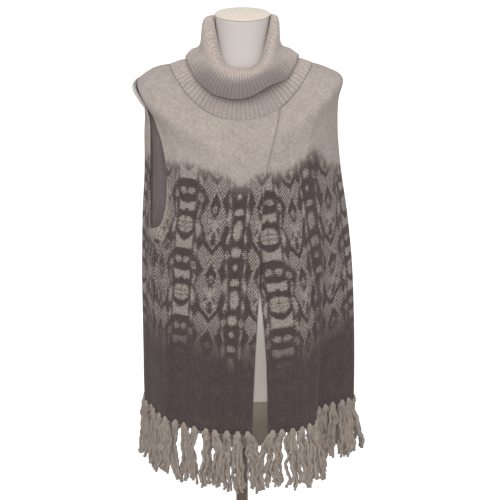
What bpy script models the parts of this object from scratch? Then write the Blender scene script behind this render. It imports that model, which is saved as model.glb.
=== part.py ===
"""Sleeveless knitted poncho sweater with a rolled rib cowl collar, an overlapping split front and a
knotted yarn fringe, standing on a limbless dress form with a pole and a round base.

Metres, +Z up, the origin under the middle of the base plate. The front of the garment faces -Y.
Every soft surface is a stack of closed rings. A bearing of 0 degrees on a ring points to the front,
90 to +X, 180 to the back and -90 to -X.
"""
import math
from collections import namedtuple

import bmesh
import bpy
import numpy as np
from mathutils import Matrix

# ---------------------------------------------------------------- driving dimensions
BODY_KNIT = 0.0024           # thickness of the fine-gauge knit of the three panels
RIB_KNIT = 0.0026            # thickness of the collar's rib knit between its ribs
RIB_HEIGHT = 0.0013          # how far a rib stands up from the collar
RIB_COUNT = 94               # ribs round the collar
SEAM_GAP = 0.0004            # space between two panels that are sewn together
NECK_SEAM_GAP = 0.0006       # space between the collar and the panels
OVERLAP_LIFT = 0.0016        # each front moves this far off the shared surface where they overlap
OVERLAP_REACH = (0.085, 0.15)     # distances from the front edge: full lift, then none
OVERLAP_FADE = (0.86, 0.78)       # heights: full lift above the first, none below the second

TASSEL_PITCH = 0.0210        # spacing of the knots along the hem
TASSEL_LOCKS = 3             # locks of yarn under each knot
LOCK_SPACING = 0.0062        # between the middles of two locks, below the knot
FRINGE_LENGTH = 0.098        # from the knots to the ends
FRINGE_FLARE = (0.007, 0.019)     # how far the ends stand out where the hem bulges, left and right
STRIP_HEIGHT = 0.004         # the narrow strip that carries the knots
STRIP_DEPTH = 0.0034
KNOT_WIDTH = 0.0130
KNOT_HEIGHT = 0.010
KNOT_DEPTH = 0.0105

POLE_RADIUS = 0.013
BASE_RADIUS = 0.19
BASE_HEIGHT = 0.010
BASE_EDGE = 0.005
CAP_THICKNESS = 0.004
NECK_TOP = 1.3960            # height of the cut through the neck, on its axis
NECK_TILT = 10.0             # degrees that the cut leans forward
NECK_SHIFT = 0.0025          # the neck stands this far to one side
PIECE_GAP = 0.0004           # between two pieces of the stand

# ---------------------------------------------------------------- rings
# One row for each ring: how far it reaches to each side, and how high it is there. round is the
# exponent of the superellipse (2 is an ellipse), rise the power by which the ring climbs from its
# front and back to its sides, and fold how much of the fold table shows.
Ring = namedtuple("Ring", "left right front back z_left z_right z_front z_back round rise fold")

# The body of the garment, from the neckline seam over the shoulder tips down to the hem.
GARMENT = (
    Ring(0.142, 0.141, 0.128, 0.102, 1.299, 1.302, 1.205, 1.292, 2.0, 2.4, 0.00),    # neckline seam
    Ring(0.179, 0.172, 0.139, 0.119, 1.290, 1.292, 1.178, 1.264, 2.1, 1.8, 0.00),
    Ring(0.215, 0.202, 0.146, 0.125, 1.258, 1.273, 1.140, 1.216, 2.2, 1.2, 0.00),    # shoulder tips
    Ring(0.195, 0.196, 0.149, 0.127, 1.219, 1.230, 1.098, 1.165, 2.2, 1.3, 0.06),
    Ring(0.196, 0.198, 0.151, 0.126, 1.160, 1.165, 1.045, 1.105, 2.2, 1.5, 0.16),
    Ring(0.198, 0.208, 0.152, 0.125, 1.085, 1.085, 0.975, 1.030, 2.2, 1.8, 0.30),
    Ring(0.205, 0.225, 0.152, 0.122, 0.990, 0.990, 0.895, 0.940, 2.2, 2.0, 0.46),    # foot of the armholes
    Ring(0.207, 0.239, 0.152, 0.121, 0.887, 0.887, 0.815, 0.845, 2.2, 2.0, 0.64),
    Ring(0.208, 0.247, 0.152, 0.122, 0.785, 0.783, 0.732, 0.753, 2.1, 2.0, 0.80),
    Ring(0.209, 0.252, 0.153, 0.125, 0.687, 0.680, 0.650, 0.664, 2.0, 2.0, 0.92),
    Ring(0.210, 0.254, 0.155, 0.128, 0.590, 0.577, 0.567, 0.575, 2.0, 2.0, 1.00),    # hem
)
SHOULDER_ROW = 1.6
ARMHOLE_FOOT_ROW = 5.85
HEM_ROW = 10.0

# The soft folds: bearing of the middle, half the width in degrees, and depth as a share of the
# radius, negative for a ridge. Each grows downwards with its ring's fold column.
Fold = namedtuple("Fold", "bearing half_width depth")
FOLDS = (
    Fold(66.0, 40.0, 0.300),      # the deep hollow that parts the front from the side wing
    Fold(-68.0, 10.0, 0.024),
    Fold(-50.0, 10.0, -0.013),
    Fold(-86.0, 11.0, 0.018),
    Fold(-118.0, 18.0, 0.060),
    Fold(-152.0, 14.0, 0.050),
    Fold(171.0, 13.0, -0.045),
    Fold(150.0, 17.0, 0.060),
    Fold(116.0, 22.0, 0.080),
)

# Edges of the panels, as bearings on a row of the garment's rings.
EdgeRow = namedtuple("EdgeRow", "row front back")
LEFT_ARMHOLE = (
    EdgeRow(1.60, -90.0, -90.0),
    EdgeRow(1.75, -77.0, -90.0),
    EdgeRow(1.90, -68.0, -90.0),
    EdgeRow(2.05, -61.0, -88.0),
    EdgeRow(2.30, -58.8, -82.0),
    EdgeRow(2.65, -58.8, -73.0),
    EdgeRow(3.00, -58.0, -69.0),
    EdgeRow(3.50, -51.5, -67.5),
    EdgeRow(4.00, -47.0, -66.5),
    EdgeRow(4.60, -45.8, -67.0),
    EdgeRow(5.00, -46.5, -66.8),
    EdgeRow(5.40, -48.5, -65.3),
    EdgeRow(5.60, -51.0, -64.4),
    EdgeRow(5.75, -56.0, -63.6),
    EdgeRow(5.85, -60.0, -60.0),
    EdgeRow(8.00, -62.0, -62.0),
    EdgeRow(10.0, -64.0, -64.0),
)
RIGHT_ARMHOLE = (
    EdgeRow(1.60, 90.0, 90.0),
    EdgeRow(1.75, 90.0, 91.0),
    EdgeRow(1.90, 90.0, 93.0),
    EdgeRow(2.05, 90.0, 95.0),
    EdgeRow(2.30, 90.5, 99.0),
    EdgeRow(3.00, 91.0, 107.0),
    EdgeRow(4.00, 93.0, 116.0),
    EdgeRow(4.60, 94.0, 119.0),
    EdgeRow(5.00, 95.0, 118.0),
    EdgeRow(5.40, 97.0, 114.0),
    EdgeRow(5.75, 101.0, 107.0),
    EdgeRow(5.85, 104.0, 104.0),
    EdgeRow(8.00, 103.0, 103.0),
    EdgeRow(10.0, 102.0, 102.0),
)

# The two slanted front edges: height and distance from the middle of the form.
FrontEdge = namedtuple("FrontEdge", "height over under")
FRONT_EDGES = (
    FrontEdge(1.230, 0.0760, -0.002),
    FrontEdge(1.117, 0.0510, 0.012),
    FrontEdge(0.983, 0.0390, 0.026),
    FrontEdge(0.883, 0.0360, 0.036),      # here the edges cross and the slit opens
    FrontEdge(0.820, 0.0325, 0.0430),
    FrontEdge(0.720, 0.0275, 0.0505),
    FrontEdge(0.555, 0.0216, 0.0545),
)

# The collar's own line: from the neckline seam up the stand, over the fold at the sixth row, and
# down to its hem. rib_out and rib_in tell which faces carry ribs: out is the side away from the
# neck on the stand, and in is the other side, which the fold turns outwards.
CollarRing = namedtuple("CollarRing", Ring._fields + ("rib_out", "rib_in"))
COLLAR = (
    CollarRing(0.142, 0.141, 0.128, 0.102, 1.299, 1.302, 1.205, 1.292, 2.0, 2.4, 0, 1, 0),
    CollarRing(0.124, 0.123, 0.120, 0.093, 1.305, 1.308, 1.225, 1.302, 2.0, 2.4, 0, 1, 0),
    CollarRing(0.104, 0.103, 0.108, 0.082, 1.311, 1.314, 1.243, 1.313, 2.0, 2.4, 0, 1, 0),
    CollarRing(0.073, 0.073, 0.086, 0.068, 1.330, 1.333, 1.266, 1.338, 2.0, 2.6, 0, 0, 0),
    CollarRing(0.0550, 0.0592, 0.072, 0.060, 1.378, 1.382, 1.290, 1.384, 2.0, 3.6, 0, 0, 1),
    CollarRing(0.0600, 0.0630, 0.078, 0.068, 1.392, 1.395, 1.299, 1.395, 2.0, 3.8, 0, 0, 1),
    CollarRing(0.0740, 0.0730, 0.0955, 0.077, 1.384, 1.387, 1.2955, 1.383, 2.0, 3.4, 0, 0, 1),
    CollarRing(0.0815, 0.078, 0.1125, 0.086, 1.3385, 1.3405, 1.281, 1.340, 2.0, 3.0, 0, 0, 1),
    CollarRing(0.100, 0.0985, 0.1215, 0.100, 1.3265, 1.3285, 1.264, 1.320, 2.1, 3.0, 0, 0, 1),
    CollarRing(0.110, 0.1145, 0.1220, 0.112, 1.3145, 1.3165, 1.2455, 1.303, 2.1, 3.2, 0, 0, 1),
)

# The dress form: neck, shoulders, chest, waist and hips.
TORSO = (
    Ring(0.0515, 0.0565, 0.0540, 0.0540, 1.415, 1.415, 1.415, 1.415, 2.0, 2, 0),    # above the cut
    Ring(0.0515, 0.0555, 0.0540, 0.0530, 1.366, 1.366, 1.354, 1.372, 2.0, 2, 0),
    Ring(0.0560, 0.0580, 0.0570, 0.0540, 1.335, 1.335, 1.312, 1.345, 2.0, 2, 0),
    Ring(0.0720, 0.0720, 0.0640, 0.0610, 1.318, 1.318, 1.275, 1.318, 2.0, 2, 0),
    Ring(0.1100, 0.1100, 0.0850, 0.0780, 1.302, 1.302, 1.240, 1.290, 2.0, 2, 0),
    Ring(0.1460, 0.1460, 0.1080, 0.0930, 1.283, 1.283, 1.200, 1.250, 2.1, 2, 0),
    Ring(0.1680, 0.1680, 0.1240, 0.1030, 1.260, 1.260, 1.150, 1.200, 2.2, 2, 0),
    Ring(0.1680, 0.1680, 0.1300, 0.1070, 1.232, 1.232, 1.105, 1.150, 2.2, 2, 0),
    Ring(0.1520, 0.1560, 0.1310, 0.1060, 1.170, 1.170, 1.060, 1.095, 2.2, 2, 0),
    Ring(0.1420, 0.1460, 0.1200, 0.1000, 1.080, 1.080, 1.000, 1.020, 2.2, 2, 0),
    Ring(0.1240, 0.1260, 0.1020, 0.0900, 0.960, 0.960, 0.930, 0.930, 2.2, 2, 0),
    Ring(0.1260, 0.1280, 0.0980, 0.0900, 0.880, 0.880, 0.870, 0.870, 2.2, 2, 0),
    Ring(0.1480, 0.1500, 0.1080, 0.1010, 0.790, 0.790, 0.785, 0.785, 2.2, 2, 0),
    Ring(0.1640, 0.1640, 0.1170, 0.1060, 0.700, 0.700, 0.700, 0.700, 2.2, 2, 0),
    Ring(0.1640, 0.1640, 0.1170, 0.1060, 0.622, 0.622, 0.622, 0.622, 2.2, 2, 0),
)
LOWER_SECTION = (
    Ring(0.1640, 0.1640, 0.1170, 0.1060, 0.6216, 0.6216, 0.6216, 0.6216, 2.2, 2, 0),
    Ring(0.1600, 0.1600, 0.1140, 0.1030, 0.592, 0.592, 0.592, 0.592, 2.2, 2, 0),
    Ring(0.1400, 0.1400, 0.1030, 0.0940, 0.562, 0.562, 0.562, 0.562, 2.2, 2, 0),
    Ring(0.1120, 0.1120, 0.0880, 0.0810, 0.536, 0.536, 0.536, 0.536, 2.2, 2, 0),
    Ring(0.0900, 0.0900, 0.0730, 0.0680, 0.513, 0.513, 0.513, 0.513, 2.1, 2, 0),
    Ring(0.0700, 0.0700, 0.0580, 0.0540, 0.494, 0.494, 0.494, 0.494, 2.0, 2, 0),
    Ring(0.0300, 0.0300, 0.0280, 0.0270, 0.484, 0.484, 0.484, 0.484, 2.0, 2, 0),
)


# ---------------------------------------------------------------- curves and rings
def through_rows(rows, position):
    """A smooth (Catmull-Rom) value between the rows of a table, for a row number with a fraction."""
    table = np.asarray(rows, float)
    last = len(table) - 1
    start = int(min(max(math.floor(position), 0), last - 1))
    t = position - start
    before, a, b, after = (table[min(max(start + k, 0), last)] for k in (-1, 0, 1, 2))
    return 0.5 * (
        2 * a
        + (b - before) * t
        + (2 * before - 5 * a + 4 * b - after) * t**2
        + (3 * a - before - 3 * b + after) * t**3
    )


def along_table(rows, at, key, value):
    """Smooth interpolation of one column of a table against another, with easing at every row."""
    keys = [getattr(r, key) for r in rows]
    if keys[0] > keys[-1]:
        rows, keys = rows[::-1], keys[::-1]
    position = float(np.interp(at, keys, range(len(keys))))
    return float(through_rows([[getattr(r, value)] for r in rows], position)[0])


def fold_depth(bearing):
    """The sum of the folds at a bearing, as a share of the radius."""
    total = 0.0
    for fold in FOLDS:
        apart = abs((bearing - fold.bearing + 180) % 360 - 180)
        if apart < fold.half_width:
            total += fold.depth * 0.5 * (1 + math.cos(math.pi * apart / fold.half_width))
    return total


def ring_point(ring, bearing):
    """The point of a ring at a bearing in degrees."""
    s, c = math.sin(math.radians(bearing)), math.cos(math.radians(bearing))
    power = 2 / ring.round
    shrink = 1 - ring.fold * fold_depth(bearing)
    reach = ring.right if s > 0 else ring.left
    depth = ring.front if c > 0 else ring.back
    z_side = ring.z_right if s > 0 else ring.z_left
    z_end = ring.z_front if c > 0 else ring.z_back
    return (
        reach * math.copysign(abs(s) ** power, s) * shrink,
        -depth * math.copysign(abs(c) ** power, c) * shrink,
        z_end + (z_side - z_end) * abs(s) ** ring.rise,
    )


def garment_ring(row):
    """The garment's ring at a row number with a fraction."""
    return Ring(*through_rows(GARMENT, row))


def bearing_of_edge(ring, edge_height_to_x):
    """The bearing near the front where a ring crosses a front edge."""
    bearings = np.linspace(-60, 60, 121)
    points = np.array([ring_point(ring, b) for b in bearings])
    beyond = points[:, 0] - np.array([edge_height_to_x(z) for z in points[:, 2]])
    return float(np.interp(0, beyond, bearings))


def stretch_of_ring(ring, first, last, count, trim=(0.0, 0.0)):
    """Bearings of evenly spaced points along a ring between two bearings, trimmed by a length at
    each end, and how far each is from the last end."""
    bearings = np.linspace(first, last, 241)
    points = np.array([ring_point(ring, b) for b in bearings])
    steps = np.linalg.norm(np.diff(points, axis=0), axis=1)
    length = np.concatenate([[0], np.cumsum(steps)])
    wanted = np.linspace(trim[0], length[-1] - trim[1], count)
    return np.interp(wanted, length, bearings), length[-1] - wanted


def surface_normal(row, bearing):
    """The garment surface's normal, facing out, at a row number and a bearing."""
    last = len(GARMENT) - 1
    above, below = garment_ring(max(row - 0.02, 0)), garment_ring(min(row + 0.02, last))
    ring = garment_ring(row)
    down = np.subtract(ring_point(below, bearing), ring_point(above, bearing))
    across = np.subtract(ring_point(ring, bearing + 0.4), ring_point(ring, bearing - 0.4))
    normal = np.cross(down, across)
    return normal / np.linalg.norm(normal)


# ---------------------------------------------------------------- panels of the garment
SHOULDER_ROWS = (0, 0.6, 1.1, 1.6, 1.75, 1.9, 2.05, 2.3, 2.6)
ARMHOLE_ROWS = (3, 3.5, 4, 4.6, 5.1, 5.5, 5.75, 5.85)
HANGING_ROWS = (6.5, 7.3, 8.2, 9.1, 10)
PANEL_ROWS = SHOULDER_ROWS + ARMHOLE_ROWS + HANGING_ROWS


def armhole_edge(table, row, side):
    """The bearing of a panel's outer edge: shoulder seam, armhole, then side seam."""
    if row >= ARMHOLE_FOOT_ROW:
        table = [edge for edge in table if edge.row >= ARMHOLE_FOOT_ROW]
    return along_table(table, max(row, SHOULDER_ROW), "row", side)


def over_edge(height):
    return along_table(FRONT_EDGES, height, "height", "over")


def under_edge(height):
    return along_table(FRONT_EDGES, height, "height", "under")


def smooth_step(start, end, value):
    t = min(max((value - start) / (end - start), 0.0), 1.0)
    return t * t * (3 - 2 * t)


def seam_trim(row):
    """Half the seam gap where a panel meets another, and nothing along the armhole."""
    open_edge = SHOULDER_ROW < row < ARMHOLE_FOOT_ROW
    return 0.0 if open_edge else SEAM_GAP / 2


def panel_surface(columns, edges_at, trims_at):
    """The panel's points, the surface's normals there, and each point's distance from the last edge."""
    grid, normals, distances = [], [], []
    for row in PANEL_ROWS:
        ring = garment_ring(row)
        bearings, distance = stretch_of_ring(ring, *edges_at(ring, row), columns + 1, trims_at(row))
        grid.append([ring_point(ring, b) for b in bearings])
        normals.append([surface_normal(row, b) for b in bearings])
        distances.append(distance)
    grid = np.array(grid)
    down = grid[1] - grid[0]
    grid[0] += NECK_SEAM_GAP * down / np.linalg.norm(down, axis=1)[:, None]
    return grid, np.array(normals), np.array(distances)


def lift_of(distance, height):
    near = 1 - smooth_step(OVERLAP_REACH[0], OVERLAP_REACH[1], distance)
    high = smooth_step(OVERLAP_FADE[1], OVERLAP_FADE[0], height)
    return OVERLAP_LIFT * near * high


def cloth_panel(name, grid, normals, colour):
    """A closed wall of body knit on both sides of a grid of points."""
    bm = bmesh.new()
    offset = normals * BODY_KNIT / 2
    outer = [[bm.verts.new(p) for p in row] for row in grid + offset]
    inner = [[bm.verts.new(p) for p in row] for row in grid - offset]
    for side in (outer, inner):
        for upper, lower in zip(side, side[1:]):
            for k in range(len(upper) - 1):
                bm.faces.new((upper[k], upper[k + 1], lower[k + 1], lower[k]))
    for first, second in zip(border_of(outer), border_of(inner)):
        bm.faces.new((*first, *reversed(second)))
    bmesh.ops.recalc_face_normals(bm, faces=bm.faces)
    return finish_object(name, bm, colour)


def border_of(rows):
    """The pairs of neighbouring points round the edge of a grid."""
    right = [row[-1] for row in rows]
    left = [row[0] for row in rows]
    loop = rows[0][:-1] + right[:-1] + rows[-1][:0:-1] + left[:0:-1]
    return list(zip(loop, loop[1:] + loop[:1]))


def front_over():
    def edges_at(ring, row):
        return armhole_edge(LEFT_ARMHOLE, row, "front"), bearing_of_edge(ring, over_edge)

    grid, normals, distances = panel_surface(17, edges_at, lambda row: (seam_trim(row), 0))
    lift = np.vectorize(lift_of)(distances, grid[..., 2])
    return grid + normals * lift[..., None], normals


def front_under():
    def edges_at(ring, row):
        return armhole_edge(RIGHT_ARMHOLE, row, "front"), bearing_of_edge(ring, under_edge)

    grid, normals, distances = panel_surface(23, edges_at, lambda row: (seam_trim(row), 0))
    lift = np.vectorize(lift_of)(distances, grid[..., 2])
    grid = grid - normals * lift[..., None]
    return grid[:, ::-1], -normals[:, ::-1]


def back_panel():
    def edges_at(ring, row):
        return armhole_edge(RIGHT_ARMHOLE, row, "back"), 360 + armhole_edge(LEFT_ARMHOLE, row, "back")

    return panel_surface(26, edges_at, lambda row: (seam_trim(row), seam_trim(row)))[:2]


# ---------------------------------------------------------------- collar
def collar():
    """A closed wall of rib knit. Rows with ribs have two points to a rib, the plain ones one."""
    fine = [360 * k / (2 * RIB_COUNT) for k in range(2 * RIB_COUNT)]
    line = np.array([[ring_point(row, b) for b in fine] for row in COLLAR])
    along = np.gradient(line, axis=0)
    around = np.roll(line, -1, axis=1) - np.roll(line, 1, axis=1)
    normal = np.cross(around, along)
    normal /= np.linalg.norm(normal, axis=2)[..., None]
    normal[0] = [surface_normal(0, b) for b in fine]
    rib = np.array([RIB_HEIGHT * (k % 2) for k in range(2 * RIB_COUNT)])

    loops = []
    for face, ribbed in ((1, "rib_out"), (-1, "rib_in")):
        rows = list(enumerate(COLLAR))[::face]
        for index, row in rows:
            raised = RIB_KNIT / 2 + rib * getattr(row, ribbed)
            ring = line[index] + face * normal[index] * raised[:, None]
            loops.append(ring if getattr(row, ribbed) else ring[::2])

    bm = bmesh.new()
    rings = [[bm.verts.new(p) for p in ring] for ring in loops]
    for first, second in zip(rings, rings[1:] + rings[:1]):
        stitch_rings(bm, first, second)
    bmesh.ops.recalc_face_normals(bm, faces=bm.faces)
    return bm


def stitch_rings(bm, first, second):
    """Faces between two closed rings, where one may have twice as many points as the other."""
    if len(first) == len(second):
        for k in range(len(first)):
            j = (k + 1) % len(first)
            bm.faces.new((first[k], first[j], second[j], second[k]))
        return
    fine, coarse = (first, second) if len(first) > len(second) else (second, first)
    for k in range(len(coarse)):
        j = (k + 1) % len(coarse)
        middle, end = fine[2 * k + 1], fine[(2 * k + 2) % len(fine)]
        bm.faces.new((fine[2 * k], middle, coarse[k]))
        bm.faces.new((middle, end, coarse[j], coarse[k]))


# ---------------------------------------------------------------- fringe
def fringe(name, hem, end_sways, seed, colour):
    """Tassels under one panel's hem: a narrow strip, a knot at every pitch and its locks of yarn.
    end_sways tells how far the first and the last tassel lean along the hem."""
    random = np.random.default_rng(seed)
    steps = np.linalg.norm(np.diff(hem, axis=0), axis=1)
    length = np.concatenate([[0], np.cumsum(steps)])
    count = round(length[-1] / TASSEL_PITCH)
    margin = KNOT_WIDTH / 2 + 0.0028
    middles = np.linspace(margin, length[-1] - margin, count)
    cuts = np.sort(np.concatenate([middles - KNOT_WIDTH / 2, middles + KNOT_WIDTH / 2]))
    cuts = np.concatenate([[0.0012], cuts, [length[-1] - 0.0012]])
    line = np.stack([np.interp(cuts, length, hem[:, k]) for k in range(3)], axis=1)
    line[:, 2] -= BODY_KNIT / 2 + SEAM_GAP
    along = np.gradient(line, axis=0)
    out = np.stack([along[:, 1], -along[:, 0], np.zeros(len(line))], axis=1)
    out /= np.linalg.norm(out, axis=1)[:, None]
    down = np.array((0, 0, -1))

    bm = bmesh.new()
    half = out * STRIP_DEPTH / 2
    drop = down * STRIP_HEIGHT
    corners = [line + half, line - half, line - half + drop, line + half + drop]
    rails = [[bm.verts.new(p) for p in corner] for corner in corners]
    bottoms = []
    for k in range(len(line) - 1):
        for side in range(4):
            a, b = rails[side], rails[(side + 1) % 4]
            face = bm.faces.new((a[k], a[k + 1], b[k + 1], b[k]))
            if side == 2:
                bottoms.append(face)
    bm.faces.new([rail[0] for rail in rails])
    bm.faces.new([rail[-1] for rail in rails][::-1])
    bmesh.ops.recalc_face_normals(bm, faces=bm.faces)

    sways = 0.003 * np.sin(np.arange(count) * 0.8 + seed) + random.uniform(-0.0008, 0.0008, count)
    sways[[0, -1]] = end_sways
    sways[[1, -2]] = np.array(end_sways) / 2
    for k, root in enumerate(bottoms[1::2]):
        outward = out[1 + 2 * k]
        before, after = out[max(2 * k - 1, 0)], out[min(2 * k + 3, len(out) - 1)]
        turn = before[0] * after[1] - before[1] * after[0]
        flare = FRINGE_FLARE[int(line[1 + 2 * k][0] > 0)]
        flare *= min(turn / 0.16, 1) if turn > 0 else 0.3 * turn
        grow_tassel(bm, root, outward, np.cross(outward, down), sways[k], flare, random)
    return finish_object(name, bm, colour)


def extruded(bm, face):
    """The end face of an extrusion, whose first face is taken away."""
    made = bmesh.ops.extrude_face_region(bm, geom=[face])
    bmesh.ops.delete(bm, geom=[face], context="FACES_ONLY")
    return next(g for g in made["geom"] if isinstance(g, bmesh.types.BMFace))


def grow_tassel(bm, root, outward, tangent, sway, flare, random):
    """Extrudes one knot from the strip's underside, then its locks of yarn side by side."""
    centre = np.array(root.calc_center_median())
    face = root
    for drop, depth in ((KNOT_HEIGHT * 0.45, KNOT_DEPTH), (KNOT_HEIGHT, KNOT_DEPTH * 0.72)):
        face = extruded(bm, face)
        for vert in face.verts:
            offset = np.array(vert.co) - centre
            side = math.copysign(depth / 2, offset @ outward)
            vert.co = centre + tangent * (offset @ tangent) + outward * side
            vert.co.z = centre[2] - drop

    length = FRINGE_LENGTH * random.uniform(0.92, 1.05)
    width, depth = KNOT_WIDTH / TASSEL_LOCKS, KNOT_DEPTH * 0.72
    for place, lock in enumerate(split_face(bm, face, tangent)):
        spread = (place - (TASSEL_LOCKS - 1) / 2) * LOCK_SPACING
        middle = centre + tangent * (place - (TASSEL_LOCKS - 1) / 2) * width
        for share, across, through in ((0.5, 1.22, 1.15), (1.0, 0.95, 0.80)):
            lock = extruded(bm, lock)
            reach = length * share * random.uniform(0.96, 1.04)
            along = spread + sway * share + random.uniform(-0.0004, 0.0004)
            away = flare * share**1.5 + random.uniform(-0.0012, 0.0012)
            target = centre + tangent * along + outward * away
            for vert in lock.verts:
                offset = np.array(vert.co) - middle
                side = math.copysign(width * across / 2, offset @ tangent)
                front = math.copysign(depth * through / 2, offset @ outward)
                vert.co = target + tangent * side + outward * front
                vert.co.z = centre[2] - KNOT_HEIGHT - reach
            middle = target


def split_face(bm, face, tangent):
    """Cuts a four-sided face into one face for each lock, in order along the tangent."""
    long_edges = sorted(face.edges, key=lambda e: -e.calc_length())[:2]
    made = bmesh.ops.subdivide_edges(bm, edges=long_edges, cuts=TASSEL_LOCKS - 1)
    points = [g for g in made["geom_inner"] if isinstance(g, bmesh.types.BMVert)]
    points.sort(key=lambda v: float(np.array(v.co) @ tangent))
    for first, second in zip(points[::2], points[1::2]):
        if not any(e.other_vert(first) == second for e in first.link_edges):
            bmesh.ops.connect_verts(bm, verts=[first, second])
    low = min(v.co.z for v in points)
    faces = {f for v in points for f in v.link_faces if max(w.co.z for w in f.verts) < low + 1e-5}
    return sorted(faces, key=lambda f: float(np.array(f.calc_center_median()) @ tangent))


# ---------------------------------------------------------------- dress form
def ring_stack(table, points_round, rows):
    """A closed solid through a table of rings, with flat ends."""
    bm = bmesh.new()
    stack = []
    for row in np.linspace(0, len(table) - 1, rows):
        ring = Ring(*through_rows(table, row))
        circle = bmesh.ops.create_circle(bm, segments=points_round, radius=1)["verts"]
        for k, vert in enumerate(circle):
            vert.co = ring_point(ring, 360 * k / points_round)
        stack.append(circle)
    for first, second in zip(stack, stack[1:]):
        edges = [ring_edge(v, w) for ring in (first, second) for v, w in zip(ring, ring[1:] + ring[:1])]
        bmesh.ops.bridge_loops(bm, edges=edges)
    bm.faces.new(stack[0])
    bm.faces.new(stack[-1])
    bmesh.ops.recalc_face_normals(bm, faces=bm.faces)
    return bm


def ring_edge(first, second):
    return next(e for e in first.link_edges if e.other_vert(first) == second)


def turned(profile, segments):
    """A closed solid of revolution about Z, from a profile of (radius, height) points."""
    bm = bmesh.new()
    points = [bm.verts.new((radius, 0, height)) for radius, height in profile]
    for a, b in zip(points, points[1:]):
        bm.edges.new((a, b))
    bmesh.ops.spin(
        bm, geom=bm.verts[:] + bm.edges[:], axis=(0, 0, 1), cent=(0, 0, 0),
        steps=segments, angle=2 * math.pi, use_merge=True, use_duplicate=False,
    )
    bmesh.ops.remove_doubles(bm, verts=bm.verts, dist=1e-6)
    bmesh.ops.recalc_face_normals(bm, faces=bm.faces)
    return bm


def torso_mesh():
    """The torso, with its neck cut off along a plane that leans forward."""
    bm = ring_stack(TORSO, 24, 16)
    tilt = math.radians(NECK_TILT)
    bmesh.ops.bisect_plane(
        bm, geom=bm.verts[:] + bm.edges[:] + bm.faces[:], dist=1e-6, clear_outer=True,
        plane_co=(0, 0, NECK_TOP), plane_no=(0, -math.sin(tilt), math.cos(tilt)),
    )
    bmesh.ops.holes_fill(bm, edges=[e for e in bm.edges if e.is_boundary], sides=0)
    bmesh.ops.recalc_face_normals(bm, faces=bm.faces)
    return bm


def cap_mesh():
    """The flat cap on the neck, along the same plane."""
    radius = TORSO[0].front + 0.001
    profile = [
        (0, PIECE_GAP), (radius - 0.0005, PIECE_GAP), (radius, 0.001), (radius, CAP_THICKNESS - 0.001),
        (radius - 0.001, CAP_THICKNESS), (0, CAP_THICKNESS),
    ]
    bm = turned(profile, 22)
    lean = Matrix.Rotation(math.radians(NECK_TILT), 3, "X")
    bmesh.ops.rotate(bm, verts=bm.verts, cent=(0, 0, 0), matrix=lean)
    bmesh.ops.translate(bm, verts=bm.verts, vec=(NECK_SHIFT, 0, NECK_TOP))
    return bm


# ---------------------------------------------------------------- objects
def finish_object(name, bm, colour, roughness=0.9, metallic=0.0):
    mesh = bpy.data.meshes.new(name)
    bm.to_mesh(mesh)
    bm.free()
    mesh.shade_smooth()
    material = bpy.data.materials.new(name)
    material.use_nodes = True
    shader = material.node_tree.nodes["Principled BSDF"]
    shader.inputs["Base Color"].default_value = (*colour, 1)
    shader.inputs["Roughness"].default_value = roughness
    shader.inputs["Metallic"].default_value = metallic
    mesh.materials.append(material)
    obj = bpy.data.objects.new(name, mesh)
    bpy.context.scene.collection.objects.link(obj)
    return obj


LIGHT_YARN = (0.40, 0.36, 0.33)
MIXED_YARN = (0.24, 0.21, 0.20)
FRINGE_YARN = (0.33, 0.29, 0.26)
JERSEY = (0.72, 0.69, 0.67)
TAUPE = (0.22, 0.20, 0.17)
PALE_WOOD = (0.80, 0.72, 0.63)
DARK_METAL = (0.06, 0.05, 0.045)


def build():
    for obj in list(bpy.data.objects):
        bpy.data.objects.remove(obj)

    panels = (
        ("front_over", front_over, (0.005, 0.012)),
        ("front_under", front_under, (-0.008, -0.005)),
        ("back", back_panel, (0.005, -0.005)),
    )
    for seed, (name, surface, end_sways) in enumerate(panels):
        grid, normals = surface()
        cloth_panel(name, grid, normals, MIXED_YARN)
        fringe("fringe_" + name.removeprefix("front_"), grid[-1], end_sways, seed, FRINGE_YARN)
    finish_object("cowl_collar", collar(), LIGHT_YARN)

    finish_object("form_torso", torso_mesh(), JERSEY, 0.8)
    finish_object("form_lower_section", ring_stack(LOWER_SECTION, 24, 7), TAUPE, 0.85)
    finish_object("form_cap", cap_mesh(), PALE_WOOD, 0.5)
    pole_top = LOWER_SECTION[-1].z_left - PIECE_GAP
    pole_foot = BASE_HEIGHT + PIECE_GAP
    pole = [(0, pole_top), (POLE_RADIUS, pole_top), (POLE_RADIUS, pole_foot), (0, pole_foot)]
    finish_object("form_pole", turned(pole[::-1], 16), DARK_METAL, 0.4, 0.8)
    base = [
        (0, 0), (BASE_RADIUS - 0.001, 0), (BASE_RADIUS, 0.001), (BASE_RADIUS, BASE_EDGE - 0.001),
        (BASE_RADIUS - 0.001, BASE_EDGE), (2.5 * POLE_RADIUS, BASE_HEIGHT), (0, BASE_HEIGHT),
    ]
    finish_object("form_base", turned(base, 28), DARK_METAL, 0.45, 0.8)


build()
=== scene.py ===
# %% [markdown]
# # A knitted poncho sweater on a dress form
#
# The garment is a sleeveless poncho: a back panel, two fronts that overlap, a wide rib collar that
# folds over, and a fringe of thick yarn knotted into the hem. It hangs on a limbless dress form.
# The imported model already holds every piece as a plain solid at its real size. This lesson dresses
# those solids: thin cloth shells with a knitted pattern, real ribs, twisted yarn, a smooth form.

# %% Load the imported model
import math
from collections import namedtuple

import bmesh
import bpy
import numpy as np
from mathutils import Matrix, Vector


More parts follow.
